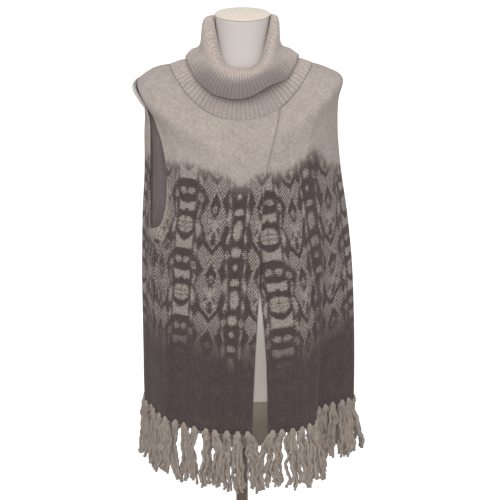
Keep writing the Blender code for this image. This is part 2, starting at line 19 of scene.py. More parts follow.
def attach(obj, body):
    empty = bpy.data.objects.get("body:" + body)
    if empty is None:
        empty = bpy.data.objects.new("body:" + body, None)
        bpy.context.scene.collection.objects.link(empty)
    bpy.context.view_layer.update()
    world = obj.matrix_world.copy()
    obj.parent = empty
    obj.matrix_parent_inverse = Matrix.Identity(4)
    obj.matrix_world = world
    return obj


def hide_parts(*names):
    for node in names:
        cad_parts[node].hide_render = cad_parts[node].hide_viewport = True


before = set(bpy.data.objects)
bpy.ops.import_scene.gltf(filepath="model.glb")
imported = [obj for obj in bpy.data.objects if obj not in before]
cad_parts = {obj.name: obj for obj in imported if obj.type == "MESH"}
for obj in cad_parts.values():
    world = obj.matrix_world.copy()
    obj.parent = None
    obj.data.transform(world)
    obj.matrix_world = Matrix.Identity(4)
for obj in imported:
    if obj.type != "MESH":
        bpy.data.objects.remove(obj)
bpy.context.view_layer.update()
print("nodes:", ", ".join(sorted(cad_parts)))

# %% [markdown]
# ## The camera
#
# A garment is best seen from a little above the chest, with a long lens from about two metres, so
# that the shoulders and the hem keep their widths. We build the camera first, because it tells how
# fine each piece has to be: one pixel of our picture is about 2 mm of cloth.

# %% Camera
def in_scene(name, data):
    """A new object with this data, linked to the scene."""
    thing = bpy.data.objects.new(name, data)
    bpy.context.scene.collection.objects.link(thing)
    return thing


CAMERA_PLACE = (0.01751, -2.3, 1.52)
CAMERA_DOWN = math.radians(14.74)
LENS = 82.0

camera_data = bpy.data.cameras.new("camera")
camera_data.lens = LENS
camera_data.sensor_width = 36.0
camera = in_scene("camera", camera_data)
camera.location = CAMERA_PLACE
camera.rotation_euler = (math.pi / 2 - CAMERA_DOWN, 0, 0)
bpy.context.scene.camera = camera
print(f"camera: {LENS:.0f} mm lens, {math.degrees(CAMERA_DOWN):.1f} degrees down")

# %% [markdown]
# ## Shader sums
#
# Knit is a repeating pattern, so its materials are mostly arithmetic on the cloth's own
# coordinates. Linking Math nodes by hand makes that hard to read. A small class around an output
# socket lets us write `1 - mask` or `height * 0.5` and adds the nodes for us. Every other node
# comes from one method, which sets the node's settings first and its sockets second.


# %% Expressions on shader sockets
class Wire:
    """An output of a material's node tree that takes part in sums as a number does."""

    def __init__(self, tree, socket=None):
        self.tree = tree
        self.socket = socket

    def node(self, kind, settings=None, sockets=None, output=0):
        """A new node of a kind, with its settings, its sockets' values or links, and one output."""
        node = self.tree.nodes.new(kind)
        for name, value in (settings or {}).items():
            setattr(node, name, value)
        for name, value in (sockets or {}).items():
            if isinstance(value, Wire):
                self.tree.links.new(value.socket, node.inputs[name])
            else:
                node.inputs[name].default_value = value
        return Wire(self.tree, node.outputs[output])

    def places(self):
        """The object's own coordinates, in metres."""
        return self.node("ShaderNodeTexCoord", output=3)

    def cloth_map(self):
        """The place in the cloth, in metres across and up."""
        return self.node("ShaderNodeUVMap", {"uv_map": "cloth"})

    def attribute(self, name):
        """A number that the mesh carries at its vertices."""
        return self.node("ShaderNodeAttribute", {"attribute_name": name}, output=2)

    def math(self, operation, *others):
        values = dict(enumerate((self, *others)))
        return self.node("ShaderNodeMath", {"operation": operation}, values)

    def __add__(self, other):
        return self.math("ADD", other)

    def __radd__(self, other):
        return self.math("ADD", other)

    def __sub__(self, other):
        return self.math("SUBTRACT", other)

    def __rsub__(self, other):
        return self.math("MULTIPLY_ADD", -1.0, other)

    def __mul__(self, other):
        return self.math("MULTIPLY", other)

    def __rmul__(self, other):
        return self.math("MULTIPLY", other)

    def __truediv__(self, other):
        return self.math("DIVIDE", other)

    def fraction(self):
        return self.math("FRACT")

    def size(self):
        return self.math("ABSOLUTE")

    def wave(self):
        """A smooth wave from 0 to 1, with one period for each whole number."""
        return (self * math.tau).math("COSINE") * 0.5 + 0.5

    def between(self, low, high):
        """0 below low, 1 above high, and an eased climb from one to the other."""
        settings = {"interpolation_type": "SMOOTHSTEP"}
        sockets = {"Value": self, "From Min": low, "From Max": high}
        return self.node("ShaderNodeMapRange", settings, sockets)

    def noise(self, scale, detail=2.0, roughness=0.5):
        """Noise from 0 to 1 at this vector, with scale features to the metre."""
        sockets = {"Vector": self, "Scale": scale, "Detail": detail, "Roughness": roughness}
        return self.node("ShaderNodeTexNoise", {"noise_dimensions": "3D"}, sockets)

    def stretched(self, x, y, z):
        """This vector with each coordinate multiplied."""
        return self.node("ShaderNodeVectorMath", {"operation": "MULTIPLY"}, {0: self, 1: (x, y, z)})

    def parts(self):
        """The X and Y coordinates of this vector."""
        split = self.node("ShaderNodeSeparateXYZ", sockets={"Vector": self})
        node = split.socket.node
        return Wire(self.tree, node.outputs["X"]), Wire(self.tree, node.outputs["Y"])

    def mixed(self, first, second):
        """The colour between two colours, at this mask."""
        sockets = {0: self, 6: first, 7: second}
        return self.node("ShaderNodeMix", {"data_type": "RGBA", "clamp_factor": True}, sockets, 2)

    def bumps(self, height_mm, strength=1.0):
        """A normal from this height, where 1 stands for height_mm."""
        sockets = {"Height": self, "Distance": height_mm / 1000, "Strength": strength}
        return self.node("ShaderNodeBump", sockets=sockets)


def srgb(red, green, blue):
    """A colour as screens write it, from 0 to 255, in the linear values that shaders use."""
    shares = [value / 255 for value in (red, green, blue)]
    linear = [s / 12.92 if s <= 0.04045 else ((s + 0.055) / 1.055) ** 2.4 for s in shares]
    return (*linear, 1.0)


SHADER = "Principled BSDF"


def new_material(name, **constants):
    """An empty Principled material, its constants set on the shader, and a wire to start from."""
    material = bpy.data.materials.new(name)
    material.use_nodes = True
    shader = material.node_tree.nodes[SHADER]
    for socket, value in constants.items():
        shader.inputs[socket.replace("_", " ").title().replace("Ior", "IOR")].default_value = value
    return material, Wire(material.node_tree)


def finished(material, colour, normal, roughness=None):
    """The material, with what varies over the surface linked to its shader."""
    shader = material.node_tree.nodes[SHADER]
    for name, wire in (("Base Color", colour), ("Normal", normal), ("Roughness", roughness)):
        if wire is not None:
            wire.tree.links.new(wire.socket, shader.inputs[name])
    return material


# %% [markdown]
# ## How the garment hangs
#
# Cloth that hangs round a body is easiest to describe as rings, from the neckline down to the hem.
# Each ring says how far it reaches to each side, to the front and to the back, and how high it is
# there. A position on the cloth is then a row between the rings and a bearing round them: 0 degrees
# at the front, 90 at +X and 180 at the back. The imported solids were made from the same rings, so
# a finer shell made from them lies exactly on its solid.

# %% The rings of the garment
def rows_of(kind, *rows):
    """A table of named rows."""
    return [kind(*values) for values in rows]


Ring = namedtuple("Ring", "left right front back z_left z_right z_front z_back round rise fold")
GARMENT = rows_of(
    Ring,
    (0.142, 0.141, 0.128, 0.102, 1.299, 1.302, 1.205, 1.292, 2.0, 2.4, 0.0),  # neckline
    (0.179, 0.172, 0.139, 0.119, 1.29, 1.292, 1.178, 1.264, 2.1, 1.8, 0.0),
    (0.215, 0.202, 0.146, 0.125, 1.258, 1.273, 1.14, 1.216, 2.2, 1.2, 0.0),  # shoulder tips
    (0.195, 0.196, 0.149, 0.127, 1.219, 1.23, 1.098, 1.165, 2.2, 1.3, 0.06),
    (0.196, 0.198, 0.151, 0.126, 1.16, 1.165, 1.045, 1.105, 2.2, 1.5, 0.16),
    (0.198, 0.208, 0.152, 0.125, 1.085, 1.085, 0.975, 1.03, 2.2, 1.8, 0.3),
    (0.205, 0.225, 0.152, 0.122, 0.99, 0.99, 0.895, 0.94, 2.2, 2.0, 0.46),  # armholes end
    (0.207, 0.239, 0.152, 0.121, 0.887, 0.887, 0.815, 0.845, 2.2, 2.0, 0.64),
    (0.208, 0.247, 0.152, 0.122, 0.785, 0.783, 0.732, 0.753, 2.1, 2.0, 0.8),
    (0.209, 0.252, 0.153, 0.125, 0.687, 0.68, 0.65, 0.664, 2.0, 2.0, 0.92),
    (0.21, 0.254, 0.155, 0.128, 0.59, 0.577, 0.567, 0.575, 2.0, 2.0, 1.0),  # hem
)
LAST_ROW = len(GARMENT) - 1
SHOULDER_ROW = 1.6
ARMHOLE_FOOT_ROW = 5.85

Fold = namedtuple("Fold", "bearing half_width depth")
FOLDS = rows_of(
    Fold,
    (66.0, 40.0, 0.3), (-68.0, 10.0, 0.024), (-50.0, 10.0, -0.013),
    (-86.0, 11.0, 0.018), (-118.0, 18.0, 0.06), (-152.0, 14.0, 0.05),
    (171.0, 13.0, -0.045), (150.0, 17.0, 0.06), (116.0, 22.0, 0.08),
)

# %% Points on rings
def between_rows(table, position):
    """Smooth (Catmull-Rom) values between the rows of a table, at an array of row numbers."""
    table = np.asarray(table, float)
    position = np.asarray(position, float)
    last = len(table) - 1
    start = np.clip(np.floor(position).astype(int), 0, last - 1)
    t = (position - start)[..., None]
    before, a, b, after = (table[np.clip(start + step, 0, last)] for step in (-1, 0, 1, 2))
    return 0.5 * (
        2 * a
        + (b - before) * t
        + (2 * before - 5 * a + 4 * b - after) * t**2
        + (3 * a - before - 3 * b + after) * t**3
    )


def apart(bearing, middle):
    """Degrees between bearings, from 0 to 180."""
    return np.abs((bearing - middle + 180) % 360 - 180)


def fold_depth(bearing):
    """The folds at a bearing, as a share of the radius."""
    total = np.zeros(np.shape(bearing))
    for fold in FOLDS:
        reach = np.clip(apart(bearing, fold.bearing) / fold.half_width, 0, 1)
        total = total + fold.depth * 0.5 * (1 + np.cos(np.pi * reach))
    return total


def on_rings(table, row, bearing):
    """Points of the surface through a table of rings."""
    values = np.moveaxis(between_rows(table, row), -1, 0)
    left, right, front, back, z_left, z_right, z_front, z_back, roundness, rise, fold = values
    s, c = np.sin(np.radians(bearing)), np.cos(np.radians(bearing))
    power = 2 / roundness
    shrink = 1 - fold * fold_depth(bearing)
    reach = np.where(s > 0, right, left)
    depth = np.where(c > 0, front, back)
    z_end = np.where(c > 0, z_front, z_back)
    z_side = np.where(s > 0, z_right, z_left)
    x = reach * np.sign(s) * np.abs(s) ** power * shrink
    y = -depth * np.sign(c) * np.abs(c) ** power * shrink
    z = z_end + (z_side - z_end) * np.abs(s) ** rise
    return np.stack([x, y, z], axis=-1)


def lengths_along(points):
    """The distance walked along a line of points, starting at 0."""
    steps = np.linalg.norm(np.diff(points, axis=0), axis=1)
    return np.concatenate([[0], np.cumsum(steps)])


def eased(start, end, value):
    """0 before start, 1 after end, and a smooth climb between them."""
    t = np.clip((value - start) / (end - start), 0, 1)
    return t * t * (3 - 2 * t)


def hill(distance, width):
    """1 at no distance, and a soft fall towards 0 past this width."""
    return np.exp(-((distance / width) ** 2))


print(f"the garment: {len(GARMENT)} rings and {len(FOLDS)} deep folds")

# %% [markdown]
# ## Where the panels end
#
# A panel is the stretch of those rings between two edges. The outer edge is the shoulder seam, then
# the armhole, then the side seam. The inner edge of a front is slanted: the fronts overlap at the
# chest, cross at the waist, and leave a narrow split below. Short tables hold these edges.

# %% The edges of the panels
EdgeRow = namedtuple("EdgeRow", "row front back")
LEFT_ARMHOLE = rows_of(
    EdgeRow,
    (1.6, -90.0, -90.0), (1.75, -77.0, -90.0), (1.9, -68.0, -90.0), (2.05, -61.0, -88.0),
    (2.3, -58.8, -82.0), (2.65, -58.8, -73.0), (3.0, -58.0, -69.0), (3.5, -51.5, -67.5),
    (4.0, -47.0, -66.5), (4.6, -45.8, -67.0), (5.0, -46.5, -66.8), (5.4, -48.5, -65.3),
    (5.6, -51.0, -64.4), (5.75, -56.0, -63.6), (5.85, -60.0, -60.0), (8.0, -62.0, -62.0),
    (10.0, -64.0, -64.0),
)
RIGHT_ARMHOLE = rows_of(
    EdgeRow,
    (1.6, 90.0, 90.0), (1.75, 90.0, 91.0), (1.9, 90.0, 93.0), (2.05, 90.0, 95.0),
    (2.3, 90.5, 99.0), (3.0, 91.0, 107.0), (4.0, 93.0, 116.0), (4.6, 94.0, 119.0),
    (5.0, 95.0, 118.0), (5.4, 97.0, 114.0), (5.75, 101.0, 107.0), (5.85, 104.0, 104.0),
    (8.0, 103.0, 103.0), (10.0, 102.0, 102.0),
)
FrontEdge = namedtuple("FrontEdge", "height over under")
FRONT_EDGES = rows_of(
    FrontEdge,
    (0.555, 0.0216, 0.0545), (0.72, 0.0275, 0.0505), (0.82, 0.0325, 0.043),
    (0.883, 0.036, 0.036), (0.983, 0.039, 0.026), (1.117, 0.051, 0.012),
    (1.23, 0.076, -0.002),
)
SEAM_GAP = 0.0004
NECK_SEAM_GAP = 0.0006
FRONT_BEARINGS = np.linspace(-60, 60, 121)
RING_SAMPLES = 241


def column(table, key, value, at):
    """Smooth interpolation of one column of a table against another."""
    keys = [getattr(row, key) for row in table]
    position = np.interp(at, keys, range(len(keys)))
    return between_rows([[getattr(row, value)] for row in table], position)[..., 0]


def outer_edge(table, row, side):
    """The bearing of the shoulder seam, armhole or side seam at a row."""
    if row >= ARMHOLE_FOOT_ROW:
        table = [edge for edge in table if edge.row >= ARMHOLE_FOOT_ROW]
    return float(column(table, "row", side, max(row, SHOULDER_ROW)))


def inner_edge(row, side):
    """The bearing where a ring crosses a front's slanted edge."""
    points = on_rings(GARMENT, np.full(FRONT_BEARINGS.size, row), FRONT_BEARINGS)
    beyond = points[:, 0] - column(FRONT_EDGES, "height", side, points[:, 2])
    return float(np.interp(0, beyond, FRONT_BEARINGS))


def edges_of(panel, row):
    """The bearings of a panel's first and last edge at a row."""
    if panel == "over":
        return outer_edge(LEFT_ARMHOLE, row, "front"), inner_edge(row, "over")
    if panel == "under":
        return outer_edge(RIGHT_ARMHOLE, row, "front"), inner_edge(row, "under")
    return outer_edge(RIGHT_ARMHOLE, row, "back"), 360 + outer_edge(LEFT_ARMHOLE, row, "back")


def spread_bearings(row, first, last, count, trims):
    """Bearings of evenly spaced points along a ring, and each point's distance from the end."""
    bearings = np.linspace(first, last, RING_SAMPLES)
    walked = lengths_along(on_rings(GARMENT, np.full(RING_SAMPLES, row), bearings))
    wanted = np.linspace(trims[0], walked[-1] - trims[1], count)
    return np.interp(wanted, walked, bearings), walked[-1] - wanted


split = [inner_edge(LAST_ROW, side) for side in ("over", "under")]
print(f"at the hem the fronts end at {split[0]:.1f} and {split[1]:.1f} degrees")

# %% [markdown]
# ## Coordinates in the knit
#
# A pattern on knit follows the stitches, not the room. Wales, the columns of stitches, run down the
# cloth, and courses, the rows of stitches, run round it. We measure both in metres: `across` is the
# distance round the garment at chest height, and `up` is the distance above the hem along the
# cloth. Both go into a UV map, so stitches, motifs and colour changes all stay on the cloth.

# %% Knit coordinates
CHEST_ROW = 6.0
HEM_HEIGHT = 0.567
MAP_STEPS = 200
MAP_BEARINGS = np.linspace(-180, 180, 361)
MAP_ROWS = np.linspace(0, LAST_ROW, MAP_STEPS + 1)

chest_line = on_rings(GARMENT, np.full(MAP_BEARINGS.size, CHEST_ROW), MAP_BEARINGS)
chest_walk = lengths_along(chest_line)
chest_walk -= chest_walk[MAP_BEARINGS.size // 2]
map_grid = on_rings(GARMENT, *np.meshgrid(MAP_ROWS, MAP_BEARINGS, indexing="ij"))
row_steps = np.linalg.norm(np.diff(map_grid, axis=0), axis=2)
above_hem = np.zeros(map_grid.shape[:2])
above_hem[:-1] = np.cumsum(row_steps[::-1], axis=0)[::-1]


def knit_across(bearing):
    """Metres round the chest from the middle of the front."""
    turns = np.floor((bearing + 180) / 360)
    return np.interp(bearing - 360 * turns, MAP_BEARINGS, chest_walk) + turns * chest_walk[-1] * 2


def knit_up(row, bearing):
    """Metres along the cloth above the hem, plus the hem's height."""
    r = np.clip(row / LAST_ROW * MAP_STEPS, 0, MAP_STEPS - 0.001)
    b = (bearing + 180) % 360
    i, j = np.floor(r).astype(int), np.floor(b).astype(int)
    t, s = r - i, b - j
    top = above_hem[i, j] * (1 - s) + above_hem[i, j + 1] * s
    low = above_hem[i + 1, j] * (1 - s) + above_hem[i + 1, j + 1] * s
    return HEM_HEIGHT + top * (1 - t) + low * t


print(f"round the chest: {2 * chest_walk[-1]:.3f} m")

# %% [markdown]
# ## The motifs
#
# The pattern is a snakeskin-like knit in two yarns. Its repeat is 204 mm wide and mirrored: a
# column of wide ovals, a column of crosses and lozenges, a column of narrow ovals, then the crosses
# again. Each motif is a small formula that says how much light yarn there is at a place: `x` is
# millimetres from the middle of the column and `y` is millimetres down the repeat.

# %% Shapes for motifs
REPEAT_ACROSS = 204.0
REPEAT_DOWN = 140.0
EDGE_SOFTNESS = 5.2


def inside(distance):
    """1 well inside a shape and 0 outside it, from the distance to its edge in millimetres."""
    return np.clip(0.5 + distance / EDGE_SOFTNESS, 0, 1)


def oval(x, y, middle, half_width, half_height, squareness=2.0):
    reach = np.abs((x - middle[0]) / half_width) ** squareness
    reach = (reach + np.abs((y - middle[1]) / half_height) ** squareness) ** (1 / squareness)
    return inside((1 - reach) * min(half_width, half_height))


def lozenge(x, y, middle, half_width, half_height):
    reach = np.abs(x - middle[0]) / half_width + np.abs(y - middle[1]) / half_height
    return inside((1 - reach) * min(half_width, half_height) * 0.8)


def band(value, low, high):
    return inside(np.minimum(value - low, high - value))


def wrapped(y, low):
    """y brought into one repeat that starts at low."""
    return (y - low) % REPEAT_DOWN + low


def any_of(*shapes):
    return np.maximum.reduce(shapes)


def all_of(*shapes):
    return np.minimum.reduce(shapes)


# %% The columns of motifs
def wide_ovals(x, y):
    """Oval, crescent, cup, two spots, winged band. y is 0 in the middle of the oval."""
    y = wrapped(y, -25)
    x = np.abs(x)
    face = oval(x, y, (0, 0.5), 18.5, 17.0, 2.5)
    seams = any_of(band(x, -1.2, 1.2), band(y, -4.5, -2.0), band(y, 4.5, 7.0)) * 0.60
    crescent_edge = 32 - (x / 20) ** 2 * 15
    cup = all_of(band(y, crescent_edge, 49 + (x / 20) ** 2 * 3), band(x, -2, 19.5))
    bridge = all_of(band(y, 69, 77), band(x, -2, 15))
    spots = any_of(oval(x, y, (9.0, 73), 8.5, 7.5) * 0.80, bridge * 0.50)
    notch = oval(x, y, (0, 114), 5.5, 6.0)
    wings = all_of(band(y, 96 - x * 0.12, 114 - x * 0.10), band(x, -2, 18.5), 1 - notch)
    threads = all_of(band(x + 0.8 * np.sin(y / 6), 20.6, 22.6), inside(30 - np.abs(y - 75))) * 0.55
    return any_of(face * (1 - seams), cup, spots, wings, threads)


def narrow_ovals(x, y):
    """The same rhythm at half the width, with one spot."""
    y = wrapped(y, -30)
    face = oval(np.abs(x), y, (0, 0), 9.0, 19.5, 2.3)
    heart = oval(np.abs(x), y, (3.0, 43), 7.0, 10.5)
    spot = oval(x, y, (0.5, 73), 5.0, 6.5)
    drop = oval(np.abs(x), y, (1.0, 106), 8.5, 9.5)
    rays = all_of(any_of(band(x, 13.0, 14.6), band(x, 16.0, 17.2)), band(y, -46, 26))
    return any_of(face, heart, spot, drop, rays)


def crosses(x, y):
    """Winged crosses over an eyed diamond, then a ringed lozenge in a V. y is 0 at the V's foot.

    The second result tells where the light yarn is hatched, and which way its lines lean.
    """
    y = wrapped(y, -30)
    side = np.sign(x)
    x = np.abs(x)
    foot = y + 1.25 * x
    upper_wings = all_of(lozenge(x, y, (13.0, 4), 13.0, 31), inside(foot - 2.6))
    upper_arms = all_of(band(x - (y - 10) / 2.35, -2.4, 2.6), band(y, 4, 44))
    lower_wings = lozenge(x, y, (14.0, 71), 12.0, 36)
    middle = lozenge(x, y, (0, 82), 10.0, 16)
    lower_arms = all_of(band(x - np.abs(y - 88) / 1.5, -2.4, 2.4), band(y, 70, 104))
    diamond = 1 - lozenge(x, y, (0, 44), 11.5, 21)
    eye = all_of(lozenge(x, y, (0, 50), 6.0, 10.0), 1 - lozenge(x, y, (0, 51), 2.2, 4.0) * 0.8)
    ring = all_of(lozenge(x, y, (0, 106), 11.5, 19), 1 - lozenge(x, y, (0, 104), 5.0, 9.5))
    bead = oval(x, y, (0, 105), 1.6, 2.6) * 0.7
    collar = all_of(band(foot, -25, -9.5), band(x, -2, 15.5), 1 - oval(x, y, (0, -25), 5, 8))
    collar_low = all_of(band(foot - REPEAT_DOWN, -25, -9.5), band(x, -2, 15.5))
    open_wings = all_of(any_of(upper_wings, lower_wings), diamond)
    collars = any_of(collar, collar_low)
    lines = any_of(all_of(upper_arms, diamond), middle, lower_arms, eye, ring, bead)
    hatched = any_of(open_wings, collars) * (1 - all_of(lines, inside(15 - x)))
    return any_of(open_wings, collars, lines), hatched * side * eased(2.0, 8.0, x)


def leaves(x, y):
    """A chain of slim leaves and rings between wavy threads. x is from the chain's middle."""
    y = wrapped(y, -70)
    x = x - 1.3 * np.sin(math.tau * y / 52)
    leaf = oval(x, y, (0, 8), 4.6, 18)
    slim = oval(x, y, (0, -28), 2.4, 12)
    ring = all_of(oval(x, y, (0, -56), 4.4, 9), 1 - oval(x, y, (0, -57), 1.6, 4) * 0.7)
    bud = oval(x, y, (0, 50), 3.2, 13)
    thread = all_of(band(np.abs(x), 6.4, 7.6), inside(12 * np.sin(math.tau * y / 70))) * 0.55
    return any_of(leaf, slim, ring, bud, thread)


def motif(across, down):
    """The shares of light yarn and of hatching, in millimetres from a column of wide ovals."""
    x = np.abs((across + REPEAT_ACROSS / 2) % REPEAT_ACROSS - REPEAT_ACROSS / 2)
    side = np.where((across % REPEAT_ACROSS) < REPEAT_ACROSS / 2, 1, -1)
    cross_light, cross_hatch = crosses(x - 54, down - 54)
    in_cross = inside(24.5 - np.abs(x - 54))
    light = any_of(
        wide_ovals(x, down) * (x < 22),
        leaves(x - 26.0, down) * (np.abs(x - 26.0) < 8),
        all_of(cross_light, in_cross),
        leaves(84.0 - x, down + 30) * (np.abs(x - 84.0) < 7),
        narrow_ovals((102 - x) * side, down - 4) * (np.abs(x - 102) < 20),
    )
    return light, cross_hatch * in_cross * side


one_repeat = np.meshgrid(np.arange(REPEAT_ACROSS), np.arange(REPEAT_DOWN))
print(f"light yarn in one repeat: {motif(*one_repeat)[0].mean():.0%}")

# %% [markdown]
# ## Light above, dark below
#
# The garment changes from plain light yarn at the chest, through the pattern, to plain dark yarn at
# the hem, with ragged borders. Two short tables say how high those borders are. Between them the
# share of light yarn is the motif's, and the material frays the borders with noise.

# %% Borders between plain and patterned knit
Border = namedtuple("Border", "across start end")
BORDERS = {
    "over": rows_of(
        Border,
        (-0.23, 1.12, 0.748), (-0.16, 1.128, 0.745), (-0.108, 1.132, 0.755), (-0.057, 1.124, 0.752),
        (-0.03, 1.118, 0.725), (-0.006, 1.104, 0.73), (0.018, 1.108, 0.738), (0.04, 1.12, 0.745),
        (0.08, 1.125, 0.745),
    ),
    "under": rows_of(
        Border,
        (-0.01, 1.11, 0.745), (0.045, 1.122, 0.745), (0.068, 1.125, 0.722), (0.108, 1.128, 0.732),
        (0.15, 1.148, 0.742), (0.172, 1.158, 0.748), (0.2, 1.15, 0.742), (0.235, 1.12, 0.738),
        (0.3, 1.105, 0.748),
    ),
    "back": rows_of(
        Border,
        (0.28, 1.11, 0.748), (0.345, 1.14, 0.74), (0.4, 1.12, 0.725), (0.45, 1.132, 0.745),
        (0.51, 1.105, 0.735), (0.56, 1.138, 0.76), (0.62, 1.12, 0.742), (0.7, 1.132, 0.75),
        (0.85, 1.125, 0.748),
    ),
}
Course = namedtuple("Course", "across lift shift")
# How far the motifs are pulled up or sideways, where the cloth turns round the body.
COURSES = {
    "over": rows_of(
        Course,
        (-0.25, 0.0, 0.01), (-0.1, 0.0, 0.01), (-0.066, 0.0, 0.0), (0.08, 0.0, 0.0),
    ),
    "under": rows_of(
        Course,
        (0.0, -0.024, 0.0), (0.057, -0.018, 0.0), (0.111, -0.013, -0.007), (0.159, 0.008, 0.0),
        (0.226, -0.008, -0.024), (0.29, 0.01, -0.046),
    ),
    "back": rows_of(
        Course,
        (0.28, 0.004, 0.0), (0.5, -0.006, 0.0), (0.8, 0.004, 0.0),
    ),
}
# The fronts are cut a little aslant, so that their motifs run along the slanted edges.
LEAN = {"over": 0.060, "under": -0.087, "back": 0.0}
LEAN_FROM = 1.0
# On the over front the wide ovals lean more, above and below the waist.
TILT_FROM = 1.06
TILT_REACH = 32
PATTERN_START = (0.004, 0.060)
PATTERN_END = (0.085, 0.040)
OVAL_AT = {"over": (-0.108, 0.998), "under": (0.057, 0.998), "back": (0.510, 1.000)}


def chart(panel, across, up):
    """For each place: light yarn, hatching, and a zone from 0, plain light, to 2, plain dark."""
    borders, courses = BORDERS[panel], COURSES[panel]
    start = column(borders, "across", "start", across)
    end = column(borders, "across", "end", across)
    keys = [course.across for course in courses]
    position = np.interp(across, keys, range(len(keys)))
    shift = np.interp(position, range(len(keys)), [course.shift for course in courses])
    shift = shift + LEAN[panel] * (LEAN_FROM - up)
    step = np.floor(position)
    position = step + eased(0.30, 0.70, position - step)
    lift = np.interp(position, range(len(keys)), [course.lift for course in courses])
    middle_across, middle_up = OVAL_AT[panel]
    down = (middle_up + lift - up) * 1000
    wander = 1.0 * np.sin(down / 31) + 0.6 * np.sin(down / 13 + across * 40)
    from_oval = (across + shift - middle_across) * 1000 + wander
    if panel == "over":
        down = down + (TILT_FROM - up) * from_oval * hill(from_oval, TILT_REACH)
    light, hatch = motif(from_oval, down + 1.2 * np.sin(across * 120))
    started = eased(start + PATTERN_START[0], start - PATTERN_START[1], up)
    ended = eased(end + PATTERN_END[0], end - PATTERN_END[1], up)
    return light, hatch, started + ended


border_heights = [border.start for rows in BORDERS.values() for border in rows]
print(f"the pattern starts {min(border_heights):.2f} to {max(border_heights):.2f} m up")

# %% [markdown]
# ## The cloth
#
# Each panel starts as a flat grid, whose vertices are then placed on the garment's surface. The
# grid is finest where the pattern is. Soft creases are laid in one by one: each is a trough or a
# ridge between two places on the cloth. Solidify gives the wall its thickness, with the wrong side
# of the knit on the inside, and Bevel rounds the edges.

# %% Creases
Crease = namedtuple("Crease", "bearing_top row_top bearing_low row_low width depth")
CREASES = rows_of(
    Crease,
    # left front: from the shoulder tip, under the armhole, and down the side
    (-57.0, 2.4, -40.0, 4.6, 0.02, -0.0022), (-46.0, 2.6, -30.0, 4.0, 0.016, 0.0016),
    (-57.0, 5.9, -55.0, 7.4, 0.012, 0.004), (-50.0, 5.6, -53.0, 8.6, 0.016, -0.0034),
    (-43.0, 6.2, -46.0, 9.8, 0.014, 0.0024), (-36.0, 7.2, -37.0, 10.0, 0.018, -0.002),
    (-20.0, 7.8, -22.0, 10.0, 0.022, 0.0016), (-8.0, 8.4, -9.0, 10.0, 0.016, -0.0012),
    # the chest, where the fronts hang from the neckline
    (-32.0, 1.0, -26.0, 3.2, 0.024, -0.0016), (30.0, 0.8, 26.0, 3.4, 0.022, -0.0018),
    (46.0, 0.9, 40.0, 3.6, 0.018, 0.0015),
    # right front: the strong fold and its neighbours
    (44.0, 5.4, 41.0, 10.0, 0.015, 0.004), (36.0, 5.6, 33.5, 10.0, 0.014, -0.003),
    (26.0, 6.8, 25.0, 10.0, 0.018, 0.0016), (58.0, 5.0, 55.0, 9.6, 0.018, -0.003),
    (72.0, 3.4, 70.0, 8.2, 0.018, 0.002), (86.0, 5.4, 82.0, 10.0, 0.014, -0.0028),
    # back
    (124.0, 3.0, 128.0, 8.8, 0.022, -0.0034), (137.0, 4.6, 134.0, 10.0, 0.018, 0.0028),
    (158.0, 2.2, 162.0, 6.4, 0.026, -0.0022), (184.0, 5.2, 181.0, 10.0, 0.02, 0.0026),
    (201.0, 3.6, 205.0, 9.0, 0.024, -0.003), (224.0, 1.6, 216.0, 5.2, 0.022, 0.002),
    (238.0, 5.0, 240.0, 10.0, 0.018, 0.003), (256.0, 3.2, 258.0, 7.8, 0.016, -0.0028),
    (276.0, 6.0, 280.0, 10.0, 0.015, 0.0024),
)


def creased(row, bearing):
    """How far the creases move the cloth out, in metres."""
    total = np.zeros(np.shape(row))
    across = knit_across(bearing)
    for crease in CREASES:
        t = (row - crease.row_top) / (crease.row_low - crease.row_top)
        middle = knit_across(crease.bearing_top + (crease.bearing_low - crease.bearing_top) * t)
        taper = eased(0, 0.35, t) * (1 - 0.75 * eased(0.8, 1.15, t))
        away = (across - middle) / crease.width
        away = np.minimum(np.abs(away), np.abs(np.abs(away) - 2 * chest_walk[-1] / crease.width))
        total += crease.depth * taper * np.exp(-away * away * 1.6)
    return total


deepest = max(abs(crease.depth) for crease in CREASES)
print(f"{len(CREASES)} soft creases, the deepest {1000 * deepest:.1f} mm")

# %% Grids of cloth
WELD = 1e-6
BODY_KNIT = 0.0024
OVERLAP_LIFT = 0.0016
OVERLAP_REACH = (0.085, 0.150)
OVERLAP_FADE = (0.86, 0.78)
SEAM_PINCH = 0.0009
SEAM_PINCH_WIDTH = 0.005
Places = namedtuple("Places", "row bearing from_first from_last")
ROWS_ABOVE, ROWS_PATTERN, ROWS_BELOW = 26, 226, 18
FINE_FROM, FINE_TO = 2.0, 9.0


def grid_rows():
    """Row numbers of a panel's grid, fine where the pattern is."""
    above = np.linspace(0, FINE_FROM, ROWS_ABOVE, endpoint=False)
    pattern = np.linspace(FINE_FROM, FINE_TO, ROWS_PATTERN, endpoint=False)
    return np.concatenate([above, pattern, np.linspace(FINE_TO, LAST_ROW, ROWS_BELOW)])


def panel_places(panel, columns):
    """The row, the bearing and the distances from both edges, for each vertex of a panel."""
    rows = grid_rows()
    bearings, distances = [], []
    for row in rows:
        seam = 0.0 if SHOULDER_ROW < row < ARMHOLE_FOOT_ROW else SEAM_GAP / 2
        trims = (seam, seam if panel == "back" else 0.0)
        line, distance = spread_bearings(row, *edges_of(panel, row), columns + 1, trims)
        bearings.append(line)
        distances.append(distance)
    row = np.repeat(rows[:, None], columns + 1, 1)
    bearing, from_last = np.array(bearings), np.array(distances)
    places = (row, bearing, from_last[:, :1] - from_last, from_last)
    if panel != "under":
        return Places(*places)
    # This front is measured from its seam inward, but its grid runs round as the others' do.
    row, bearing, from_seam, from_front_edge = (values[:, ::-1] for values in places)
    return Places(row, bearing, from_front_edge, from_seam)


